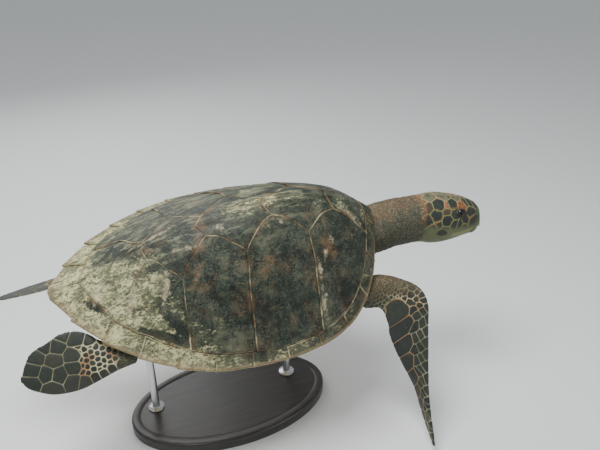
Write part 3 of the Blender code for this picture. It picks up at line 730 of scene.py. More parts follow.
class Limb:
    """A flat limb: root point, the way it reaches, the way its leading edge faces, and its upper side.

    blade holds (front, back, thickness) of its sections, front and back as (distance out, towards
    the lead). twists turn each section about its leading edge, in degrees. shoulder is the section
    inside the body: its point, half sizes out and across, and thickness.
    """

    def __init__(self, root, reach, lead, blade, twists, shoulder):
        self.root = np.array(root, float)
        self.reach = unit(reach)
        lead = np.array(lead, float)
        self.lead = unit(lead - self.reach * (lead @ self.reach))
        self.upper = np.cross(self.reach, self.lead)
        if self.upper[2] < 0:
            self.upper = -self.upper
        sections = [(*front, *back, thick, twist) for (front, back, thick), twist in zip(blade, twists)]
        self.last = len(blade) - 1
        self.stops = profile(*enumerate(sections))
        self.shoulder = shoulder
        front_r, front_l, back_r, back_l = np.array(sections)[:, :4].T
        middle = (front_r + back_r) / 2
        self.lead_at = profile(*zip(middle, front_l))
        self.chord_at = profile(*zip(middle, front_l - back_l))
        self.twist_at = profile(*zip(middle, twists))
        self.length = float(middle[-1])

    def section(self, row, c, side):
        """Points at shares c of the chord, on the upper side where side is 1 and the lower where it is -1."""
        front_r, front_l, back_r, back_l, thick, twist = row
        turn = math.radians(twist)
        first = self.root + self.reach * front_r + self.lead * front_l
        forward = self.lead * math.cos(turn) + self.upper * math.sin(turn)
        top = self.upper * math.cos(turn) - self.lead * math.sin(turn)
        span = self.reach * (back_r - front_r) + forward * (back_l - front_l)
        full = np.where(c < THICKEST, np.sqrt(np.clip(1 - ((THICKEST - c) / THICKEST) ** 2, 0, 1)),
                        np.clip(1 - (np.clip(c - THICKEST, 0, 1) / (1 - THICKEST)) ** 1.7, 0, 1) ** .8)
        return first + span * c[:, None] + top * (thick / 2 * full * side)[:, None]

    def rows(self):
        """Rings from the shoulder through the blade to its rounded tip."""
        turn = np.linspace(0, 2 * np.pi, 64, endpoint=False)
        c = .5 - .5 * np.cos(turn)
        side = np.where(np.sin(turn) >= 0, 1, -1)
        point, half_out, half_across, thick = self.shoulder
        out, across, over = self.to_local(np.array(point, float))
        first = (out - half_out, across + half_across, out + half_out, across - half_across, thick, 0)
        start = self.section(first, c, side) + self.upper * over
        base = self.section(self.stops(0.0), c, side)
        rows = [start * (1 - t) + base * t for t in np.linspace(0, 1, 10)[:-1]]
        rows += [self.section(self.stops(k), c, side) for k in np.linspace(0, self.last, 110)]
        tip = rows[-1]
        middle = tip.mean(axis=0)
        rows += [middle + (tip - middle) * math.sqrt(1 - t * t) + self.reach * .006 * t
                 for t in (.35, .62, .82, .94, .99)]
        return np.array(rows)

    def to_local(self, p):
        d = p - self.root
        return np.stack([d @ self.reach, d @ self.lead, d @ self.upper], axis=-1)

    def coordinates(self, p):
        """(distance out, place across the untwisted blade, height over it) for points near it."""
        r, lead, up = np.moveaxis(self.to_local(p), -1, 0)
        turn = np.radians(self.twist_at(r))
        edge = self.lead_at(r)
        across = edge + (lead - edge) * np.cos(turn) + up * np.sin(turn)
        height = up * np.cos(turn) - (lead - edge) * np.sin(turn)
        return r, across, height


FRONT_BLADE = (
    ((-.053, -.030), (.052, -.040), .072), ((-.046, .035), (.058, -.002), .068),
    ((-.020, .092), (.067, .010), .060), ((.020, .144), (.085, .016), .050),
    ((.075, .161), (.120, .020), .042), ((.150, .147), (.165, .018), .034),
    ((.220, .132), (.225, .020), .028), ((.290, .117), (.290, .022), .022),
    ((.360, .103), (.355, .024), .018), ((.430, .095), (.420, .031), .014),
    ((.490, .091), (.478, .046), .011), ((.530, .087), (.522, .070), .008),
)
HIND_BLADE = (
    ((.000, .031), (.000, -.030), .050), ((.044, .040), (.044, -.038), .044),
    ((.083, .052), (.083, -.052), .035), ((.115, .062), (.115, -.080), .029),
    ((.150, .071), (.150, -.094), .025), ((.190, .073), (.188, -.093), .021),
    ((.230, .068), (.224, -.077), .017), ((.262, .054), (.254, -.066), .014),
    ((.282, .042), (.273, -.051), .011), ((.294, .030), (.287, -.028), .009),
    ((.299, .019), (.296, -.006), .007),
)
FLAT = (0,) * len(HIND_BLADE)
LIMBS = {
    "front_right": Limb((.451, -.202, -.008), (.020, -.795, -.606), (.943, -.187, .276), FRONT_BLADE,
                        (0, 0, 0, 0, 0, 15, 30, 48, 66, 72, 75, 78), ((.335, -.135, .000), .030, 0, .045)),
    "front_left": Limb((.360, .170, -.090), (-.420, .520, -.745), (.822, .564, -.071), FRONT_BLADE,
                       (0, 0, 0, 0, 0, 4, 8, 12, 16, 20, 22, 24), ((.290, .115, -.010), .030, 0, .045)),
    "hind_right": Limb((-.312, -.203, -.026), (-.997, .051, -.059), (-.005, -.790, -.613), HIND_BLADE,
                       FLAT, ((-.250, -.115, -.005), 0, .022, .035)),
    "hind_left": Limb((-.380, .150, -.094), (-.975, .040, -.190), (.130, .690, -.710), HIND_BLADE,
                      FLAT, ((-.250, .115, -.010), 0, .022, .035)),
}


def raw_skin(voxel):
    """One closed mesh round all the flesh, in the animal's directions and in metres."""
    forms = [trunk_rows(), neck_rows(), tail_rows(), wedge_rows(.042, .12, .035), wedge_rows(.945, .86, .045)]
    forms += [limb.rows() for limb in LIMBS.values()]
    forms += [thigh_rows(LIMBS["hind_right"], .8), thigh_rows(LIMBS["hind_left"], 1.25)]
    points, faces, total = [], [], 0
    for rows in forms:
        points.append(rows.reshape(-1, 3))
        faces += tube_faces(*rows.shape[:2], total)
        total += len(points[-1])
    obj = outward(new_mesh("raw_skin", np.concatenate(points) * SHELL_LENGTH, faces))
    remesh = obj.modifiers.new("one_skin", "REMESH")
    remesh.mode = "VOXEL"
    remesh.voxel_size = voxel
    graph = bpy.context.evaluated_depsgraph_get()
    mesh = bpy.data.meshes.new_from_object(obj.evaluated_get(graph))
    bpy.data.objects.remove(obj)
    return mesh


def mesh_arrays(mesh):
    """A mesh's points, and the two ends of each of its edges."""
    p = np.empty(len(mesh.vertices) * 3)
    mesh.vertices.foreach_get("co", p)
    e = np.empty(len(mesh.edges) * 2, np.int32)
    mesh.edges.foreach_get("vertices", e)
    return p.reshape(-1, 3), e.reshape(-1, 2)


class Web:
    """Averages over each point's neighbours."""

    def __init__(self, edges, count):
        self.a = np.concatenate([edges[:, 0], edges[:, 1]])
        self.b = np.concatenate([edges[:, 1], edges[:, 0]])
        self.count = count
        self.degree = np.maximum(np.bincount(self.a, minlength=count), 1)

    def mean(self, values):
        if values.ndim == 1:
            return np.bincount(self.a, values[self.b], self.count) / self.degree
        return np.stack([self.mean(values[:, k]) for k in range(values.shape[1])], axis=1)


def normals_of(mesh, p):
    """The mesh's normals once its points are at p."""
    mesh.vertices.foreach_set("co", p.ravel())
    mesh.update()
    n = np.empty(len(mesh.vertices) * 3)
    mesh.vertices.foreach_get("normal", n)
    return n.reshape(-1, 3)


# ---- scales of the skin ----------------------------------------------------------------

ROUNDING = .0012
POINTS_AT_ONCE = 40000
SHOULDER_LEAD = 0.148
SLANT = 0.42


def cells(points, sites, weights):
    """Each point's distance in mm to the nearest border between the sites' cells, and its cell.

    A site's weight makes its cell larger. Corners are rounded by about ROUNDING.
    """
    gap = np.empty(len(points))
    which = np.empty(len(points), int)
    for start in range(0, len(points), POINTS_AT_ONCE):
        part = points[start:start + POINTS_AT_ONCE]
        d2 = ((part[:, None] - sites[None]) ** 2).sum(-1) - weights[None]
        first = d2.argmin(1)
        row = np.arange(len(part))
        apart = np.linalg.norm(sites[first][:, None] - sites[None], axis=-1)
        border = (d2 - d2[row, first][:, None]) / np.maximum(2 * apart, 1e-9)
        border[row, first] = np.inf
        gap[start:start + POINTS_AT_ONCE] = -ROUNDING * np.log(np.exp(-border / ROUNDING).sum(1))
        which[start:start + POINTS_AT_ONCE] = first
    return gap / MM, which


def front_flat(limb, r, across):
    """A front flipper laid flat: distance out, slanted behind, and distance behind its leading edge."""
    behind = np.where(r < .06, SHOULDER_LEAD, limb.lead_at(r)) - across
    return np.stack([r - SLANT * np.clip(behind - .05, 0, .1), behind], axis=-1)


def front_sites(limb):
    """Scales of a front flipper: big plates behind, long narrow ones before, small ones on the shoulder.

    Each is its place on the flat flipper, its weight and whether it is a big plate.
    """
    sites = []
    for r in (.080, .143, .203, .260, .312, .358, .400, .440, .478, .512):
        chord = float(limb.chord_at(r))
        sites.append((r - SLANT * (.73 * chord - .05) * (r < .3), .73 * chord, .0013 * (chord / .13) ** 2, 1))
    for column, share in enumerate((.06, .20, .345)):
        r = -.040 + .008 * column
        while r < .53:
            chord = max(float(limb.chord_at(r)), .060)
            sites.append((r, share * min(chord, .132), 0, 0))
            r += .021 if r < .085 else .038
    for k, r in enumerate(np.arange(-.060, .046, .0135)):
        for b in np.arange(.060 + .006 * (k % 2), .175, .0125):
            sites.append((r, b, -.0001, 0))
    return sites


HIND_PLATES = (
    (.253, -.042), (.268, -.008), (.277, .024), (.212, -.028), (.236, .008), (.226, .050), (.204, .018),
    (.200, -.062), (.172, .044), (.184, -.088), (.148, -.070), (.116, -.058), (.160, -.026), (.168, .006),
    (.142, .052), (.116, .046), (.090, .040), (.064, .032), (.040, .022), (.228, -.068),
)


def hind_sites():
    """Scales of a hind flipper: big plates round the outer edge, small ones in the middle."""
    sites = [(r, lead, .0003 if r > .14 else .0001, r > .14) for r, lead in HIND_PLATES]
    for k, r in enumerate(np.arange(.020, .150, .0155)):
        for lead in np.arange(-.046 + .008 * (k % 2), .030, .0165):
            sites.append((r, lead, -.00006, 0))
    return sites


def limb_fields(limb, p, front):
    """Values of the scales over one limb at each point, and which points belong to it."""
    r, across, height = limb.coordinates(p)
    rng = np.random.default_rng(7)
    table = np.array(front_sites(limb) if front else hind_sites(), float)
    sites = table[:, :2] + rng.normal(0, .0019, (len(table), 2))
    flat = front_flat(limb, r, across) if front else np.stack([r, across], axis=-1)
    gap, which = cells(flat, sites, table[:, 2])
    tone = rng.uniform(0, 1, len(sites))[which]
    low, high = (-.060, .190) if front else (-.125, .100)
    along = (r > -.075) & (r < limb.length + .05)
    inside = along & (across > low) & (across < high) & (np.abs(height) < .05)
    behind = limb.lead_at(r) - across
    edge = np.minimum.reduce([behind, limb.chord_at(r) - behind, limb.length + .006 - r])
    return {"r": r, "gap": gap, "tone": tone, "big": table[:, 3][which], "inside": inside, "behind": behind,
            "edge": edge}


# Scales of the head: ahead, left, up, weight and tone, each repeated on the other side.
HEAD_PLATES = (
    # Down the crown.
    (.176, .015, .056, 0, .20), (.161, .026, .062, 0, .08), (.140, 0, .076, .0001, .55),
    (.104, 0, .086, .0003, .80), (.108, .033, .074, 0, .92), (.058, .030, .082, .0004, 1),
    (.006, .030, .076, .0002, .95), (-.020, .012, .080, 0, .85),
    # Temples and round the eye.
    (.138, .040, .064, 0, .35), (.122, .053, .051, .0001, .74), (.083, .058, .058, .0001, .14),
    (.057, .064, .054, -.00010, .76), (.032, .061, .056, .0002, .08), (-.010, .060, .046, .0001, .50),
    (.058, .073, .034, -.00008, .42),
    # Cheeks.
    (.022, .074, .020, .0001, .04), (.088, .071, .026, 0, .12), (-.008, .074, .003, 0, .10),
    (.062, .078, .005, .0001, .02), (.030, .077, -.008, -.0002, .30), (.088, .074, -.010, -.00006, .10),
    (.112, .067, -.015, -.00006, .10), (.140, .060, .004, 0, .06), (.158, .050, .026, 0, .12),
    (.170, .049, -.002, .0001, .05), (.136, .060, -.018, -.0001, .20),
    # Jaw, chin and throat, and two at the nape.
    (.012, .073, -.024, -.0001, .3), (.060, .070, -.030, 0, .3), (.024, .060, -.052, 0, .3),
    (.100, .055, -.048, 0, .3), (.130, .040, -.060, 0, .3), (.165, .030, -.055, 0, .3),
    (.140, 0, -.068, 0, .3), (.090, .018, -.080, 0, .3), (.040, .022, -.085, 0, .3),
    (-.022, .048, .062, 0, .6), (.004, .040, -.075, 0, .3),
)
MOUTH_LINE = ((.205, -.026), (.180, -.0285), (.158, -.034), (.136, -.040), (.112, -.045), (.090, -.047))


def head_sites():
    """The head's scales on both sides."""
    rows = []
    for ahead, left, *rest in HEAD_PLATES:
        rows += [(ahead, side, *rest) for side in ((left, -left) if left else (0,))]
    return np.array(rows)


def mouth_gap(h):
    """Distance in mm from the line of the mouth, on both cheeks."""
    line = np.array(MOUTH_LINE)
    flat = h[:, [0, 2]]
    best = np.full(len(h), np.inf)
    for a, b in zip(line[:-1], line[1:]):
        t = np.clip(((flat - a) @ (b - a)) / ((b - a) @ (b - a)), 0, 1)
        best = np.minimum(best, np.linalg.norm(flat - a - t[:, None] * (b - a), axis=1))
    return np.where(np.abs(h[:, 1]) > .012, best, 1) / MM


def eye_axes(side):
    """An eye's middle, and its ways forward along the head, up and outward."""
    out = unit([.10, side, .22])
    fore = unit(np.array([1, 0, 0]) - out * out[0])
    fore = unit(fore + np.array([0, 0, -.16]))
    fore = unit(fore - out * (fore @ out))
    up = np.cross(out, fore) * side
    return EYE_PLACE * (1, side, 1), fore, up if up[2] > 0 else -up, out


def shape_eyes(p):
    """Sets the lids round each eye and opens them. Returns the points, the dark lids and the pale brow."""
    p, h = p.copy(), to_head(p)
    near_lid, brow = np.zeros((2, len(p)))
    for side in (-1, 1):
        centre, fore, up, out = eye_axes(side)
        d = h - centre
        depth = d @ out
        pick = (np.hypot(d @ fore, d @ up) < .030) & (depth > -.012) & (depth < .03)
        d = d[pick]
        a, u = d @ fore, d @ up
        apart = np.hypot(a, u)
        opening = np.hypot((a + .12 * u) / .0148, (u + .0008) / .0080)
        heavy = smooth_step(-.1, .8, u / np.maximum(apart, 1e-6))
        lid = EYE_RADIUS + (1.5 + (1.0 + .8 * heavy) * np.exp(-((opening - 1.14) / .16) ** 2)) * MM
        lid = lid - (3.8 * MM) * smooth_step(1.05, .90, opening)
        crease = 1.0 * np.exp(-((opening - 1.62) / .10) ** 2) * MM
        share = smooth_step(.0265, .0180, apart)[:, None]
        h[pick] = centre + d * (1 - share) + unit(d) * (lid - crease)[:, None] * share
        p[pick] = from_head(h[pick])
        near_lid[pick] = np.maximum(near_lid[pick], smooth_step(2.3, 1.7, opening))
        above = smooth_step(-.2, .6, (.75 * u - .65 * a) / np.maximum(apart, 1e-6))
        brow[pick] = np.maximum(brow[pick], np.exp(-((opening - 1.42) / .18) ** 2) * above)
    return p, near_lid, brow


# ---- the one skin ----------------------------------------------------------------------

SKIN_VOXEL, QUICK_VOXEL = .0014, .0022
NECK_FOLD = .0165    # from one crosswise fold of the neck to the next


def smooth_skin():
    """The skin's mesh, finer on the head and smooth in its folds, with its points and normals."""
    mesh = raw_skin(SKIN_VOXEL)
    shape = bmesh.new()
    shape.from_mesh(mesh)
    shape.verts.ensure_lookup_table()
    h = to_head(mesh_arrays(mesh)[0] / SHELL_LENGTH)
    fine = (h[:, 0] > .005) & (np.abs(h[:, 1]) < .12) & (h[:, 2] > -.05)
    edges = [e for e in shape.edges if fine[e.verts[0].index] and fine[e.verts[1].index]]
    bmesh.ops.subdivide_edges(shape, edges=edges, cuts=1, use_grid_fill=True)
    shape.to_mesh(mesh)
    shape.free()
    p, edges = mesh_arrays(mesh)
    web = Web(edges, len(p))
    p = p / SHELL_LENGTH
    # Inner corners, where one form meets another, are found, spread a little and softened.
    bend = ((web.mean(p) - p) * normals_of(mesh, p)).sum(1) / MM
    corner = np.clip(bend * 6, 0, 1)
    corner[to_head(p)[:, 0] > .01] = 0
    for _ in range(26):
        corner = np.maximum(corner, web.mean(corner) * 1.04)
    corner = np.clip(corner * 1.6, 0, 1)[:, None]
    for _ in range(46):
        p = p + (web.mean(p) - p) * corner * .9
    for _ in range(3):
        p = p + (web.mean(p) - p) * .5
    return mesh, p, normals_of(mesh, p)


def body_fields(p, n):
    """The values of bare skin and pale belly, with the limbs' scales over them.

    gap is the distance to a scale's border in mm, plate the share of scales, big and lace mark a
    flipper's big and small scales, and under and ruddy are pale and orange skin.
    """
    gap, tone = np.full(len(p), 30.0), np.full(len(p), .5)
    plate, big, lace, ruddy = np.zeros((4, len(p)))
    under = smooth_step(.00, -.05, p[:, 2]) * smooth_step(-.16, -.13, p[:, 2])
    under = under * smooth_step(-.30, -.70, n[:, 2])
    for name, limb in LIMBS.items():
        front = name.startswith("front")
        f = limb_fields(limb, p, front)
        r, inside = f["r"], f["inside"]
        share = (smooth_step(-.050, .065, r) if front else smooth_step(.020, .060, r)) * inside
        take = share > 0
        gap = np.where(take, f["gap"], gap)
        tone = np.where(take, f["tone"] * .36, tone)
        big = np.where(take, f["big"] * (1 if front else .06), big)
        plate = np.maximum(plate, share)
        turn = np.radians(limb.twist_at(r))[:, None]
        facing = (n * (limb.upper * np.cos(turn) - limb.lead * np.sin(turn))).sum(1)
        below = smooth_step(-.15, -.55, facing) * (smooth_step(.36, .24, r) if front else 1)
        if front:
            small = smooth_step(.11, .07, r) * smooth_step(.00, .05, r) * smooth_step(.075, .05, f["behind"])
            ruddy = np.maximum(ruddy, .5 * smooth_step(.075, .01, r) * smooth_step(-.10, -.05, r) * inside)
        else:
            small = smooth_step(.03, .06, r) * smooth_step(.175, .150, r) * (1 - f["big"])
            gap = np.where(take, np.minimum(gap, np.maximum(f["edge"], 0) / MM), gap)
        lace = np.where(take, small, lace)
        apart = np.linalg.norm(p - limb.root, axis=1) + .014 * wobble(p, 40, 27)
        settle = smooth_step(.00, .09, r) * inside
        under = under * smooth_step(.055, .115, apart) * (1 - settle) + below * settle
    return {"gap": gap, "tone": tone, "plate": plate, "big": big, "under": under, "lace": lace,
            "ruddy": ruddy}


def head_places(p):
    """Points in the head's frame, how far ahead raggedly, on head or neck, and how far from the mouth."""
    h = to_head(p)
    ahead = h[:, 0] + .003 * wobble(p, 60, 21)
    on_head = (ahead > -.030) & (np.abs(h[:, 1]) < .12) & (np.abs(h[:, 2]) < .13)
    on_neck = smooth_step(.40, .43, p[:, 0]) * smooth_step(.150, .125, np.abs(p[:, 1]))
    return h, ahead, on_head, on_neck, mouth_gap(h)


def add_head(f, p, n, h, ahead, on_head, on_neck, mouth):
    """Lays the head's scales and the neck's colours over the body's values."""
    sites = head_sites()
    gap, which = cells(h, sites[:, :3], sites[:, 3])
    up, cheek = h[:, 2], np.abs(h[:, 1]) > .03
    upward = n[:, 1] * math.sin(BANK) + n[:, 2] * math.cos(BANK)
    f["gap"] = np.where(on_head, gap, f["gap"])
    f["tone"] = np.where(on_head, sites[:, 4][which], f["tone"])
    f["big"] = np.where(on_head, 0, f["big"])
    f["head"] = smooth_step(-.026, -.016, ahead) * on_head
    f["plate"] = np.where(on_head, f["head"], f["plate"])
    # The chin, throat and the neck's downward side turn olive, which the material keeps dark as painted
    # shade.
    low = smooth_step(-.006, -.030, up + .006 * wobble(p, 50, 22)) * smooth_step(-.05, .01, ahead) * on_head
    f["olive"] = np.maximum(low, smooth_step(-.25, -.75, upward) * on_neck)
    band = smooth_step(.014, .006, np.abs(ahead + .024)) * smooth_step(-.02, .02, up) * on_neck
    ragged = upward + .16 * wobble(p, 40, 23) + .10 * wobble(p, 90, 25)
    crest = .62 * smooth_step(.66, .98, ragged) * on_neck * smooth_step(-.005, -.02, ahead)
    f["warm"] = np.maximum.reduce([band, crest, f.pop("ruddy") * (1 - on_head)])
    # The neck's underside keeps dark olive skin instead of the pale belly, as painted shade.
    f["under"] = f["under"] * (1 - on_neck)
    f["jaw"] = np.exp(-((mouth - 1.8) / 1.7) ** 2) * smooth_step(.08, .10, ahead) * on_head
    spot = .10 * wobble(p, 220, 26) + np.hypot((ahead - .049 + .3 * (up + .038)) / .020, (up + .038) / .0105)
    f["spot"] = smooth_step(1.08, .92, spot) * cheek * on_head


def skin_relief(f, p, h, ahead, on_head, on_neck, mouth):
    """How far the skin stands out in mm: scales proud of their grooves, wrinkles, and the mouth."""
    gap, plate = f["gap"], f["plate"]
    groove = np.exp(-(gap / np.where(on_head, .9, 1.1)) ** 2)
    pillow = 1 - np.exp(-gap / 3.0)
    flat_chin = 1 - .85 * smooth_step(-.02, -.04, h[:, 2]) * on_head
    relief = plate * flat_chin * (-.55 * groove + .45 * pillow * (1 + .4 * f["big"]))
    relief += plate * .15 * wobble(p, 90, 8)
    neck_run = p[:, 0] + .012 * wobble(p, 30, 15)
    folds = .28 * np.sin(neck_run * 2 * np.pi / NECK_FOLD)
    folds += .55 * wobble(p, 48, 16) + .30 * wobble(p, 520, 20)
    relief += on_neck * smooth_step(.00, -.03, ahead) * folds
    relief += (1 - plate) * (.4 * wobble(p, 110, 17) + .6 * wobble(p, 40, 18) + .22 * wobble(p, 430, 19))
    relief -= 1.3 * np.exp(-(mouth / 1.2) ** 2) * smooth_step(.085, .11, ahead)
    return relief + .7 * np.exp(-((mouth - 2.6) / 1.8) ** 2) * smooth_step(.11, .13, ahead)


def build_skin(material):
    """One scaled skin over the trunk, neck, head, flippers and tail."""
    mesh, p, n = smooth_skin()
    fields = body_fields(p, n)
    places = head_places(p)
    add_head(fields, p, n, *places)
    p = p + n * (skin_relief(fields, p, *places) * MM)[:, None]
    p, fields["lid"], fields["brow"] = shape_eyes(p)
    mesh.vertices.foreach_set("co", to_world(p).ravel())
    mesh.update()
    mesh.materials.clear()
    add_fields(mesh, fields)
    nodes = ["trunk", "neck", "head", "tail"] + ["flipper_" + name for name in LIMBS]
    finish_piece(show("turtle_skin", mesh), material, "skin", *nodes)


# ---- beak, eyes, claws and stand -------------------------------------------------------

# Stops along each half of the beak: ahead, half width, flat height and round height.
UPPER_BEAK = ((.188, .0430, -.0270, .0605), (.200, .0370, -.0240, .0530), (.212, .0280, -.0220, .0420),
              (.221, .0170, -.0250, .0270), (.2275, .0070, -.0300, .0050))
LOWER_BEAK = ((.188, .0400, -.0285, -.0525), (.199, .0340, -.0255, -.0490), (.209, .0240, -.0240, -.0440),
              (.216, .0120, -.0270, -.0380))
BEAK_TIP = UPPER_BEAK[-1][0]


def beak_half(stops, bite, tip_reach):
    """Half a beak, before its wear. bite hollows its cutting side, and tip_reach rounds its tip.

    Returns its rings in the head's frame and where it starts.
    """
    sizes_at = profile(*[(ahead, sizes) for ahead, *sizes in stops])
    start = stops[0][0] - .003
    ahead = start + (stops[-1][0] - start) * np.linspace(0, 1, 70)
    turn = np.linspace(0, np.pi, 46)
    back = np.linspace(np.pi, 0, 26)[1:-1]
    rings = []
    for x, (wide, flat, top) in zip(ahead, sizes_at(ahead)):
        y = np.sign(np.cos(turn)) * np.abs(np.cos(turn)) ** .9 * wide
        z = flat + (top - flat) * np.sin(turn) ** .9
        y = np.concatenate([y, np.cos(back) * wide * .92])
        z = np.concatenate([z, flat + bite * np.sin(back) * np.sign(top - flat)])
        rings.append(np.stack([np.full(len(y), x), y, z], axis=1))
    tip = rings[-1]
    middle = tip.mean(axis=0)
    rings += [middle + (tip - middle) * math.sqrt(1 - k * k) + np.array([tip_reach, 0, 0]) * k
              for k in (.45, .75, .93, .995)]
    return np.array(rings), start


def build_beak(material):
    for node, stops, bite, tip_reach in (("beak_upper", UPPER_BEAK, .0022, .0022),
                                         ("beak_lower", LOWER_BEAK, -.0012, .0018)):
        rings, start = beak_half(stops, bite, tip_reach)
        h = rings.reshape(-1, 3)
        if node == "beak_upper":
            # Nostrils, and a slight hook over the lower half.
            nostril = np.stack([(h[:, 0] - .2105) / .0030, (np.abs(h[:, 1]) - .0105) / .0040,
                                (h[:, 2] - .033) / .016])
            sink = 1.9 * np.exp(-(nostril ** 2).sum(0) * 1.2)
            h = h - sink[:, None] * MM * np.array([.8, 0, .5])
            h = h - np.array([0, 0, .9 * MM]) * smooth_step(.205, BEAK_TIP, h[:, :1])
        ridge = .16 * np.sin(h[:, 0] * 420 + 2 * wobble(h, 60, 4)) + .25 * wobble(h, 120, 5)
        out = unit(rings - rings.mean(axis=1, keepdims=True)).reshape(-1, 3)
        h = h + out * (ridge * MM)[:, None]
        fields = {"along": (h[:, 0] - start) / (BEAK_TIP - start), "height": (h[:, 2] + .03) / .09}
        obj = new_mesh(node + "_horn", to_world(from_head(h)), tube_faces(*rings.shape[:2]), fields)
        finish_piece(outward(obj), material, "horn", node)


def build_eyes(material):
    """Each eye is a ball with a slightly domed cornea."""
    for word, side in (("right", -1), ("left", 1)):
        ball = bmesh.new()
        bmesh.ops.create_uvsphere(ball, u_segments=64, v_segments=40, radius=EYE_RADIUS)
        d = np.array([v.co[:] for v in ball.verts])
        faces = [[v.index for v in f.verts] for f in ball.faces]
        ball.free()
        centre, _, _, out = eye_axes(side)
        facing = unit(d) @ out
        dome = 1 + .045 * smooth_step(.80, .97, facing)
        h = centre + d * (dome * .985)[:, None]
        obj = new_mesh("eye_%s_ball" % word, to_world(from_head(h)), faces, {"facing": facing})
        finish_piece(outward(obj), material, "eye", "eye_" + word)


def build_claws(material):
    """A small curved cone on the leading edge of each flipper."""
    t = np.linspace(0, 1, 34)
    turn = np.linspace(0, 2 * np.pi, 24, endpoint=False)[None, :, None]
    taper = (1 - .84 * t ** 1.25) * np.sqrt(np.clip(1 - ((t - .94) / .06).clip(0) ** 2, 0, 1)) + .02
    for name, limb in LIMBS.items():
        front = name.startswith("front")
        at, lead, length, radius = (.120, .150, .030, .0070) if front else (.150, .068, .022, .0055)
        foot = limb.root + limb.reach * at + limb.lead * (lead - radius * 1.6)
        aim = unit(limb.lead * .55 + limb.reach * .75 - limb.upper * .35)
        side = unit(np.cross(aim, limb.upper))
        top = np.cross(side, aim)
        line = foot + aim * (length * t)[:, None] - limb.lead * (.0035 * t ** 2)[:, None]
        across = np.cos(turn) * side + np.sin(turn) * top * .8
        rings = line[:, None] + across * (radius * taper)[:, None, None]
        points = to_world(rings.reshape(-1, 3))
        fields = {"along": np.repeat(t, turn.size), "height": np.full(len(points), .5)}
        obj = new_mesh("claw_%s_horn" % name, points, tube_faces(len(t), turn.size), fields)
        finish_piece(outward(obj), material, "horn", "claw_" + name)


BASE_LENGTH = 0.46
BASE_WIDTH = 0.27
BASE_THICK = 0.024
BASE_EDGE = 0.0055
ROD_RADIUS = 0.008
# A rod's outline from its flange up: how far out from the rod, and how far above the base.
FLANGE = ((.010, -.0004), (.0106, .0004), (.0106, .0026), (.0100, .0034), (.0016, .0038), (.0006, .0044),
          (0, .0058))
# Its top: how far out, and how far below its end.
ROD_TOP = ((0, .006), (-.0003, .0045), (0, .003), (0, 0))


def turned(name, outline, length, width, count, centre=(0, 0)):
    """A round or oval turned form with flat ends. outline holds (inset, height) in metres."""
    turn = np.linspace(0, 2 * np.pi, count, endpoint=False)
    rings = [np.stack([np.cos(turn) * (length / 2 - inset) + centre[0],
                       np.sin(turn) * (width / 2 - inset) + centre[1], np.full(count, z)], axis=1)
             for inset, z in outline]
    obj = outward(new_mesh(name, np.concatenate(rings), tube_faces(len(outline), count)))
    sides = [len(face.vertices) < 5 for face in obj.data.polygons]
    obj.data.polygons.foreach_set("use_smooth", np.array(sides))
    return obj


def build_stand(wood, steel):
    """An oval base with a rounded edge and a fine groove, and two flanged rods."""
    outline = [(.0012, 0), (0, .0012), (0, BASE_THICK - BASE_EDGE)]
    outline += [(BASE_EDGE - BASE_EDGE * math.cos(t), BASE_THICK - BASE_EDGE + BASE_EDGE * math.sin(t))
                for t in np.linspace(0, np.pi / 2, 9)[1:]]
    outline += [(.020, BASE_THICK), (.0212, BASE_THICK - .0009), (.0224, BASE_THICK)]
    base = turned("stand_base_board", outline, BASE_LENGTH, BASE_WIDTH, 200)
    finish_piece(base, wood, "stand_base", "stand_base")
    for name in ("stand_rod_front", "stand_rod_rear"):
        low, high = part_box(name)
        outline = [(-out, BASE_THICK + up) for out, up in FLANGE]
        outline += [(-out, high.z + .001 - down) for out, down in ROD_TOP]
        middle = ((low.x + high.x) / 2, (low.y + high.y) / 2)
        rod = turned(name + "_bar", outline, 2 * ROD_RADIUS, 2 * ROD_RADIUS, 64, middle)
        finish_piece(rod, steel, "stand_rod", name)


# ---- materials -------------------------------------------------------------------------

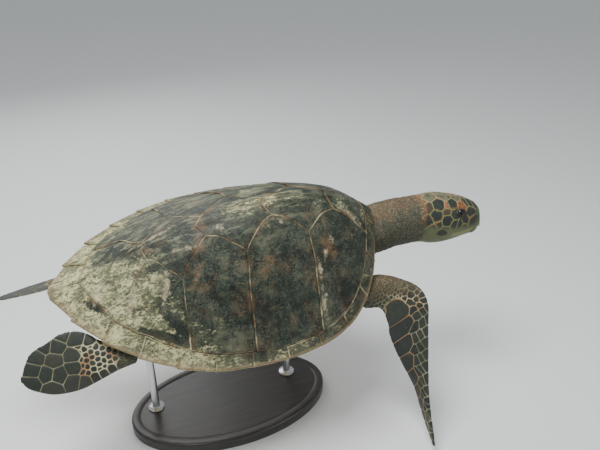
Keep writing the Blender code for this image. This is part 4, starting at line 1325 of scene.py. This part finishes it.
class Nodes:
    """Short calls for wiring a shader tree."""

    def __init__(self, tree):
        self.tree = tree
        self.column = 0

    def add(self, kind, inputs=None, **settings):
        node = self.tree.nodes.new("ShaderNode" + kind)
        self.column += 1
        node.location = (180 * (self.column % 12), -220 * (self.column // 12))
        for key, value in settings.items():
            setattr(node, key, value)
        for key, value in (inputs or {}).items():
            self.plug(node.inputs[key], value)
        return node

    def plug(self, socket, value):
        """Links a socket to another one, or sets its value."""
        if isinstance(value, bpy.types.NodeSocket):
            self.tree.links.new(value, socket)
        else:
            socket.default_value = value

    def group(self, tree, **inputs):
        """The outputs of a node that runs the group tree on inputs."""
        node = self.tree.nodes.new("ShaderNodeGroup")
        node.node_tree = tree
        for key, value in inputs.items():
            self.plug(node.inputs[key], value)
        return node.outputs

    def math(self, operation, *values, clamp=False):
        return self.add("Math", dict(enumerate(values)), operation=operation, use_clamp=clamp).outputs[0]

    def times(self, a, b, clamp=False):
        return self.math("MULTIPLY", a, b, clamp=clamp)

    def plus(self, a, b):
        return self.math("ADD", a, b)

    def minus(self, a, b):
        return self.math("SUBTRACT", a, b)

    def most(self, a, b):
        return self.math("MAXIMUM", a, b)

    def swing(self, value, by):
        """A value of 0 to 1 turned into one that swings to both sides of zero."""
        return self.times(self.minus(value, .5), by)

    def span(self, value, low, high, to_low=0.0, to_high=1.0):
        """Eases from to_low to to_high as the value goes from low to high."""
        ends = {"Value": value, "From Min": low, "From Max": high, "To Min": to_low, "To Max": to_high}
        return self.add("MapRange", ends, interpolation_type="SMOOTHSTEP").outputs[0]

    def mix(self, share, a, b):
        """A colour on its way from a to b. Plain colours are red, green and blue."""
        a, b = ((*colour, 1) if isinstance(colour, tuple) else colour for colour in (a, b))
        return self.add("Mix", {0: share, 6: a, 7: b}, data_type="RGBA").outputs[2]

    def read(self, name, vector=False):
        """A value that the mesh carries at each of its points."""
        return self.add("Attribute", attribute_name=name).outputs["Vector" if vector else "Fac"]

    def noise(self, scale, detail=4.0, rough=.55, vector=None, distortion=0.0):
        inputs = {"Scale": scale, "Detail": detail, "Roughness": rough, "Distortion": distortion}
        inputs["Vector"] = vector if vector is not None else self.place()
        return self.add("TexNoise", inputs).outputs[0]

    def place(self):
        return self.add("TexCoord").outputs["Object"]

    def shrink(self, vector, by):
        return self.add("VectorMath", {0: vector, 1: by}, operation="MULTIPLY").outputs[0]

    def ramp(self, value, *stops):
        node = self.add("ValToRGB", {0: value})
        band = node.color_ramp
        while len(band.elements) < len(stops):
            band.elements.new(.5)
        for element, (at, colour) in zip(band.elements, stops):
            element.position = at
            element.color = (*colour, 1)
        return node.outputs[0]


def start_material(name):
    """A new material, its nodes and its shader."""
    material = bpy.data.materials.new(name)
    material.use_nodes = True
    nodes = Nodes(material.node_tree)
    return material, nodes, material.node_tree.nodes["Principled BSDF"]


def set_surface(n, shader, colour, rough, height=None, distance=.0006, strength=1.0, **plain):
    """Wires a shader. height drives a bump of the given depth, and plain holds its other inputs."""
    n.plug(shader.inputs["Base Color"], colour)
    n.plug(shader.inputs["Roughness"], rough)
    if height is not None:
        bump = n.add("Bump", {"Height": height, "Distance": distance, "Strength": strength})
        n.plug(shader.inputs["Normal"], bump.outputs[0])
    for key, value in plain.items():
        shader.inputs[key.replace("_", " ")].default_value = value


def speckle_group():
    """Fine flecks in patches: a mask from 0 to 1 that grows with Amount."""
    tree = bpy.data.node_groups.new("flecks", "ShaderNodeTree")
    number = "NodeSocketFloat"
    for name, value in (("Size", 120.0), ("Amount", .5), ("Stretch", 1.0)):
        tree.interface.new_socket(name, in_out="INPUT", socket_type=number).default_value = value
    for name in ("Mask", "Height"):
        tree.interface.new_socket(name, in_out="OUTPUT", socket_type=number)
    n = Nodes(tree)
    given = tree.nodes.new("NodeGroupInput")
    out = tree.nodes.new("NodeGroupOutput")
    axes = n.add("CombineXYZ", {0: given.outputs["Stretch"], 1: 1.0, 2: 1.0}).outputs[0]
    place = n.shrink(n.place(), axes)
    small = n.noise(given.outputs["Size"], 5, .68, place)
    patchy = n.noise(n.times(given.outputs["Size"], .22), 3, .6, place)
    both = n.plus(n.times(small, .62), n.times(patchy, .38))
    level = n.minus(.605, n.times(given.outputs["Amount"], .16))
    mask = n.times(n.minus(both, level), 16.0, clamp=True)
    tree.links.new(mask, out.inputs["Mask"])
    tree.links.new(both, out.inputs["Height"])
    return tree


def horn_ground(n, pale):
    """Rays of near-black and olive under clouds of umber, fine flecks, scratches and combing."""
    ray = n.noise(1, 4, .62, n.shrink(n.read("streak", vector=True), (2.6, 1.1, 1.0)))
    broad = n.noise(13, 5, .62)
    ray = n.plus(n.times(ray, .30), n.times(n.noise(46, 6, .68), .70))
    ray = n.plus(ray, n.swing(broad, .42))
    colour = n.ramp(ray, (.38, (.0066, .0100, .0078)), (.48, (.0150, .0215, .0160)),
                    (.56, (.034, .041, .029)), (.66, (.086, .086, .053)))
    umber = n.plus(n.noise(21, 5, .65), n.swing(n.noise(130, 5, .8), .50))
    umber = n.times(n.span(umber, .49, .60), n.span(pale, .5, .1))
    brown = n.mix(n.span(ray, .42, .62), (.0200, .0115, .0070), (.105, .066, .036))
    colour = n.mix(n.times(umber, .62), colour, brown)
    fine = n.span(n.noise(270, 5, .78), .47, .64)
    colour = n.mix(n.times(fine, n.span(broad, .40, .60, .26, .90)), colour, (.086, .100, .071))
    # Thin pale scratches that wander, and lengthwise combing along the crown.
    wisp = n.math("ABSOLUTE", n.minus(n.noise(62, 3, .6, distortion=1.2), .5))
    wisp = n.times(n.span(wisp, .016, .004), n.span(n.noise(25, 3), .48, .60))
    colour = n.mix(n.times(wisp, .60), colour, (.123, .125, .085))
    comb = n.read("comb")
    combed = n.noise(88, 5, .66, n.shrink(n.place(), (.17, 1.0, 1.0)))
    colour = n.mix(n.times(n.span(combed, .51, .62), n.times(comb, .72)), colour, (.176, .180, .112))
    return n.mix(n.times(n.span(combed, .49, .40), n.times(comb, .60)), colour, (.019, .022, .016))


def horn_crust(n, colour, pale, margin, flecks):
    """Amber patches, then crust: a soft haze, cream flecks, and dark specks and strokes through them.

    Returns the colour and the outputs of the cream flecks and of the dark specks.
    """
    amber_mark, cream_mark, dark_and_shade_mark = n.add("SeparateXYZ", {0: n.read("marks", vector=True)}).outputs
    ragged = n.swing(n.noise(105, 6, .82), 3.6)
    amber = n.times(n.span(margin, 13.0, 2.0), n.span(n.noise(11, 3), .54, .66))
    amber = n.most(n.times(amber, .60), n.times(n.span(n.plus(amber_mark, ragged), .45, 1.25), .62))
    colour = n.mix(amber, colour, n.mix(n.noise(60, 4), (.105, .068, .038), (.230, .125, .058)))
    # Dark marks, partly painted shade, keep the pale crust and cream flecks off.
    dark = n.span(n.plus(dark_and_shade_mark, n.times(ragged, .45)), .30, .85)
    worn = n.minus(n.plus(pale, n.swing(n.noise(24, 5, .65), 1.1)), dark)
    haze = n.times(n.span(worn, .30, 1.0), .86)
    colour = n.mix(haze, colour, n.mix(n.noise(48, 5, .7), (.100, .108, .064), (.310, .310, .155)))
    spots = n.group(flecks, Size=260.0, Amount=worn, Stretch=.50)
    cream = n.mix(n.noise(40, 4, .65), (.370, .365, .180), (.780, .740, .410))
    cream = n.mix(n.span(pale, .10, .62), (.153, .155, .098), cream)
    cream_share = n.times(n.span(pale, 0.0, .9, .50, .80), n.minus(1.0, n.times(dark, .8)))
    colour = n.mix(n.times(spots["Mask"], cream_share), colour, cream)
    specks = n.group(flecks, Size=330.0, Amount=n.span(pale, .2, .9, .30, .62), Stretch=.8)
    speck_share = n.times(specks["Mask"], n.span(pale, .2, .8, .25, .80))
    colour = n.mix(speck_share, colour, (.038, .041, .026))
    strokes = n.noise(120, 5, .7, n.shrink(n.place(), (.32, 1.0, 1.0)))
    strokes = n.times(n.span(strokes, .53, .63), n.span(pale, .3, .9, 0, .70))
    colour = n.mix(strokes, colour, (.057, .060, .036))
    bright = n.span(n.plus(cream_mark, ragged), .55, 1.35)
    light = n.mix(n.noise(90, 4), (.330, .270, .165), (.640, .560, .370))
    return n.mix(n.times(bright, .74), colour, light), spots, specks


def horn_border(n, colour, margin):
    """Darkens each plate toward its border as painted shade of the step between plates, where thin tan seams
    come and go, cream in stretches as painted light.
    """
    # Painted shade: each plate darkens over its last few mm, as in the shadow of the step at its seam.
    colour = n.mix(n.times(n.span(margin, 6.0, 2.5), .45), colour, n.mix(.72, colour, (.012, .014, .010)))
    loose = n.plus(margin, n.swing(n.noise(70, 4, .7), 3.2))
    seam = n.times(n.span(loose, 2.4, .5), n.span(n.noise(34, 4), .38, .58, .16, 1.0))
    # The seams' cream stretches are painted light; their tan and orange are the seams' own colour.
    tan = n.ramp(n.noise(26, 3), (.36, (.190, .095, .042)), (.50, (.270, .205, .115)),
                 (.64, (.470, .430, .270)))
    return n.mix(n.times(seam, .82), colour, tan)


def horn_rim(n, colour, pale):
    """Lightens the rim's free edge, and colours its underside cream with dark blotches."""
    edge = n.read("edge")
    border = n.times(n.span(edge, 20.0, 6.0), n.span(pale, .55, .9, .08, .34))
    colour = n.mix(border, colour, (.200, .160, .090))
    colour = n.mix(n.times(n.span(edge, 4.5, .8), .46), colour, (.270, .190, .095))
    blotch = n.span(n.noise(24, 3), .52, .60)
    belly = n.mix(n.times(blotch, .75), (.62, .50, .27), (.10, .06, .03))
    return n.mix(n.span(n.read("under"), .35, .8), colour, belly)


def horn_material(name, flecks, rim=False):
    """Dark tortoiseshell plate with faint rays, worn pale flecks, amber marks and thin tan seams, with
    painted shade and painted light at the seams.
    """
    material, n, shader = start_material(name)
    margin, pale = n.read("margin"), n.read("pale")
    colour, spots, specks = horn_crust(n, horn_ground(n, pale), pale, margin, flecks)
    colour = horn_border(n, colour, margin)
    if rim:
        colour = horn_rim(n, colour, pale)
    rings_at = n.math("SINE", n.times(n.plus(n.read("rings"), n.times(n.noise(16, 3), .12)), 70.0))
    height = n.plus(n.times(spots["Height"], .9), n.times(rings_at, .03))
    height = n.minus(height, n.times(specks["Mask"], .12))
    rough = n.span(n.plus(spots["Mask"], n.times(pale, .6)), 0, 1.2, .50, .80)
    set_surface(n, shader, colour, rough, height, .0009, .9, Specular_IOR_Level=.22)
    return material


def bare_skin(n, dot, lit, warm, olive):
    """Granules of tan and orange on dark brown, and olive ones below, kept dark as painted shade."""
    ground = n.mix(n.noise(60, 4), (.029, .031, .021), (.056, .056, .037))
    granule = n.mix(n.noise(34, 3), (.121, .122, .076), (.225, .190, .108))
    hot = n.mix(n.span(n.noise(38, 4), .42, .60), (.420, .190, .075), (.430, .340, .185))
    granule = n.mix(n.times(warm, .85), granule, hot)
    ground = n.mix(n.times(warm, .60), ground, (.125, .070, .033))
    bare = n.mix(n.times(dot, n.plus(n.times(lit, .60), .20)), ground, granule)
    # Painted shade: the skin below is a dark olive, as in the shadow under neck and head.
    low_skin_and_shade = n.mix(n.times(dot, .55), (.041, .046, .027), (.094, .102, .056))
    return n.mix(n.times(olive, .85), bare, low_skin_and_shade)


def scale_middles(n, gap, tone, head, olive):
    """The middles of scales, from blue-black through brown and orange to light olive."""
    core = n.ramp(tone, (.0, (.0165, .0230, .0200)), (.30, (.029, .035, .028)), (.50, (.050, .038, .024)),
                  (.76, (.290, .105, .034)), (.90, (.096, .102, .056)), (1.0, (.132, .138, .078)))
    core = n.mix(n.times(n.span(n.noise(130, 5), .46, .70), .5), core, n.mix(.5, core, (.085, .062, .036)))
    orange = n.times(n.span(tone, .60, .70), n.span(tone, .86, .80))
    soot = n.times(n.span(n.noise(150, 3), .50, .60), orange)
    core = n.mix(n.times(soot, .75), core, (.030, .026, .018))
    glow = n.times(n.span(gap, 5.0, 1.2), n.span(n.noise(55, 3), .50, .60))
    glow = n.times(glow, n.times(head, n.minus(1.0, olive)))
    core = n.mix(n.times(glow, .70), core, (.250, .098, .034))
    crown = n.span(tone, .80, .90)
    return n.mix(n.times(crown, n.span(n.noise(95, 4), .46, .62)), core, (.062, .062, .036))


def scale_lines(n, tone, head, big, lace):
    """The light lines between scales: cream and orange on the limbs, leaf green and tan on the head."""
    line = n.ramp(n.noise(20, 2), (.34, (.101, .102, .052)), (.50, (.161, .165, .092)),
                  (.68, (.265, .275, .178)))
    thread = n.mix(n.span(n.noise(34, 3), .42, .58), (.360, .175, .070), (.500, .440, .270))
    line = n.mix(n.times(lace, .75), line, thread)
    line = n.mix(n.times(big, .62), line, (.300, .130, .045))
    leaf = n.mix(n.noise(44, 3), (.110, .120, .040), (.202, .210, .080))
    upper = n.span(tone, .40, .80)
    line = n.mix(n.times(head, n.minus(.92, n.times(upper, .75))), line, leaf)
    return n.mix(n.times(head, n.times(upper, .8)), line, (.300, .225, .125))


def skin_material(flecks):
    """Granular brown skin with orange above and olive below, darkened below as painted shade, and dark scales
    with light borders.
    """
    material, n, shader = start_material("scaled_skin")
    gap, tone, plate, under, warm = (n.read(k) for k in ("gap", "tone", "plate", "under", "warm"))
    head, big, olive, lace = (n.read(k) for k in ("head", "big", "olive", "lace"))
    speck = n.group(flecks, Size=190.0, Amount=.45, Stretch=1.0)
    grain = n.add("TexVoronoi", {"Vector": n.place(), "Scale": 330.0, "Randomness": .95})
    dot = n.span(grain.outputs["Distance"], .58, .20)
    lit = n.span(n.add("SeparateColor", {0: grain.outputs["Color"]}).outputs[0], .25, .80)
    # The lines between scales are widest between a flipper's big plates and on the head.
    wide = n.plus(.10, n.times(head, .55))
    wide = n.plus(wide, n.plus(n.times(big, .45), n.times(lace, .22)))
    wide = n.plus(wide, n.times(n.noise(30, 2), .55))
    inside = n.times(n.minus(gap, wide), 1.7, clamp=True)
    scaled = n.mix(inside, scale_lines(n, tone, head, big, lace), scale_middles(n, gap, tone, head, olive))
    # The chin and throat are olive darkened as painted shade.
    chin = n.mix(n.noise(26, 4), (.076, .086, .038), (.137, .150, .066))
    chin = n.mix(n.times(n.times(inside, speck["Mask"]), .35), chin, (.049, .052, .024))
    scaled = n.mix(n.times(olive, .96), scaled, chin)
    colour = n.mix(plate, bare_skin(n, dot, lit, warm, olive), scaled)
    colour = n.mix(n.times(n.times(warm, head), .45), colour, (.250, .125, .050))
    belly = n.mix(n.noise(26, 3), (.56, .47, .25), (.70, .62, .40))
    patch_share = n.times(n.times(inside, plate), n.plus(.25, n.times(big, .55)))
    colour = n.mix(n.times(under, .92), colour, n.mix(patch_share, belly, (.085, .050, .030)))
    for key, share, shade in (("spot", .94, (.022, .026, .017)), ("jaw", .85, (.253, .265, .105)),
                              ("lid", .85, (.025, .030, .024)), ("brow", .6, (.179, .185, .110))):
        colour = n.mix(n.times(n.read(key), share), colour, shade)
    bare_height = n.times(n.times(dot, n.minus(1.0, plate)), .9)
    height = n.plus(bare_height, n.times(speck["Height"], .6))
    rough = n.span(n.times(plate, inside), 0, 1, .66, .48)
    set_surface(n, shader, colour, rough, height, .0006, .8, Specular_IOR_Level=.30)
    return material


def beak_material(flecks):
    """Olive horn with dark patches above and a yellow-green cutting edge."""
    material, n, shader = start_material("beak_horn")
    along_it, height_at = n.read("along"), n.read("height")
    spots = n.group(flecks, Size=70.0, Amount=.50, Stretch=1.0)
    colour = n.mix(n.noise(50, 4), (.032, .050, .022), (.085, .115, .050))
    patchy = n.times(n.span(n.noise(34, 3), .44, .54), n.span(height_at, .12, .40))
    colour = n.mix(n.times(patchy, .88), colour, (.014, .019, .013))
    cutting = n.times(n.span(height_at, .16, .04), .7)
    colour = n.mix(cutting, colour, (.165, .205, .085))
    colour = n.mix(n.times(spots["Mask"], .2), colour, (.180, .180, .080))
    lines = n.math("SINE", n.times(n.plus(along_it, n.times(n.noise(20, 3), .2)), 60.0))
    height = n.plus(n.times(lines, .12), spots["Height"])
    rough = n.span(spots["Mask"], 0, 1, .42, .60)
    set_surface(n, shader, colour, rough, height, .0004, .6, Specular_IOR_Level=.35)
    return material


def eye_material():
    """A near-black eye with a faint brown iris."""
    material, n, shader = start_material("dark_eye")
    facing = n.read("facing")
    fibres = n.noise(520, 4)
    iris = n.mix(fibres, (.007, .008, .008), (.022, .018, .012))
    colour = n.mix(n.span(facing, .86, .89), iris, (.002, .002, .003))
    colour = n.mix(n.span(facing, .70, .64), colour, (.020, .018, .016))
    set_surface(n, shader, colour, .20, fibres, .00005, .3, Coat_Weight=.10, Coat_Roughness=.08,
                Specular_IOR_Level=.26)
    return material


def plastron_material(flecks):
    """Cream horn with brown flecks and seams."""
    material, n, shader = start_material("plastron_horn")
    seam = n.read("seam")
    spots = n.group(flecks, Size=70.0, Amount=.40, Stretch=.5)
    colour = n.mix(n.noise(14, 4), (.56, .43, .20), (.74, .64, .40))
    colour = n.mix(n.times(spots["Mask"], .35), colour, (.34, .21, .085))
    colour = n.mix(n.times(n.span(seam, 1.6, .3), .8), colour, (.20, .115, .050))
    rough = n.span(spots["Mask"], 0, 1, .40, .6)
    set_surface(n, shader, colour, rough, spots["Height"], .0006, .7)
    return material


def board_material():
    """Near-black lacquer over wood whose grain runs along x."""
    material, n, shader = start_material("stand_lacquer")
    grain = n.noise(1.6, 6, .6, n.shrink(n.place(), (5.0, 60.0, 60.0)))
    fine = n.noise(1, 3, .5, n.shrink(n.place(), (18.0, 420.0, 420.0)))
    colour = n.ramp(grain, (.35, (.012, .010, .009)), (.60, (.024, .019, .016)), (.80, (.040, .030, .023)))
    rough = n.span(fine, .3, .7, .34, .46)
    set_surface(n, shader, colour, rough, fine, .0002, .35, Coat_Weight=.25, Coat_Roughness=.2)
    return material


def steel_material():
    """Steel brushed along z."""
    material, n, shader = start_material("brushed_steel")
    brushed = n.noise(1, 3, .5, n.shrink(n.place(), (900.0, 900.0, 14.0)))
    colour = n.mix(brushed, (.50, .51, .52), (.62, .63, .64))
    set_surface(n, shader, colour, n.span(brushed, .3, .7, .22, .36), brushed, .0001, .25, Metallic=1.0)
    return material


def floor_material():
    """Plain pale grey."""
    material, n, shader = start_material("pale_floor")
    set_surface(n, shader, (.72, .73, .73, 1), .65)
    return material


# ---- room, camera and light ------------------------------------------------------------

def build_room():
    """A pale floor, soft daylight and three lamps."""
    bpy.ops.mesh.primitive_plane_add(size=80, location=(0, 0, 0))
    floor = bpy.context.object
    floor.name = "floor"
    floor.data.materials.append(floor_material())
    world = bpy.data.worlds.new("room_light")
    world.use_nodes = True
    world.node_tree.nodes["Background"].inputs[0].default_value = (.80, .84, .86, 1)
    world.node_tree.nodes["Background"].inputs[1].default_value = .60
    bpy.context.scene.world = world
    for name, place, aim, size, power in (
            ("key", (-.45, -.25, 2.4), (0, 0, .4), 1.1, 66),
            ("side", (1.7, -1.9, 1.7), (.2, 0, .35), 1.6, 14),
            ("back", (-.4, 2.2, 1.7), (0, 0, .4), 1.6, 22)):
        light = bpy.data.lights.new(name, "AREA")
        light.size = size
        light.energy = power
        lamp = bpy.data.objects.new(name, light)
        lamp.location = place
        lamp.rotation_euler = (Vector(aim) - Vector(place)).to_track_quat("-Z", "Y").to_euler()
        bpy.context.scene.collection.objects.link(lamp)


def build_camera():
    lens = bpy.data.cameras.new("camera")
    lens.lens = 36
    lens.sensor_width = 36
    camera = bpy.data.objects.new("camera", lens)
    bpy.context.scene.collection.objects.link(camera)
    elevation, azimuth = 27.8, -22.1
    camera.location = (-.2507, -1.0503, 1.0396)
    camera.rotation_euler = (math.radians(90 - elevation), 0, math.radians(azimuth))
    bpy.context.scene.camera = camera


def build():
    flecks = speckle_group()
    plate_horn = horn_material("plate_horn", flecks)
    rim_horn = horn_material("rim_horn", flecks, rim=True)
    beak_horn = beak_material(flecks)
    build_carapace(plate_horn)
    build_margin(rim_horn)
    build_plastron(plastron_material(flecks))
    build_skin(skin_material(flecks))
    build_beak(beak_horn)
    build_eyes(eye_material())
    build_claws(beak_horn)
    build_stand(board_material(), steel_material())
    build_room()
    build_camera()


build()


def plain(box):
    return [[float(v) for v in corner] for corner in box]
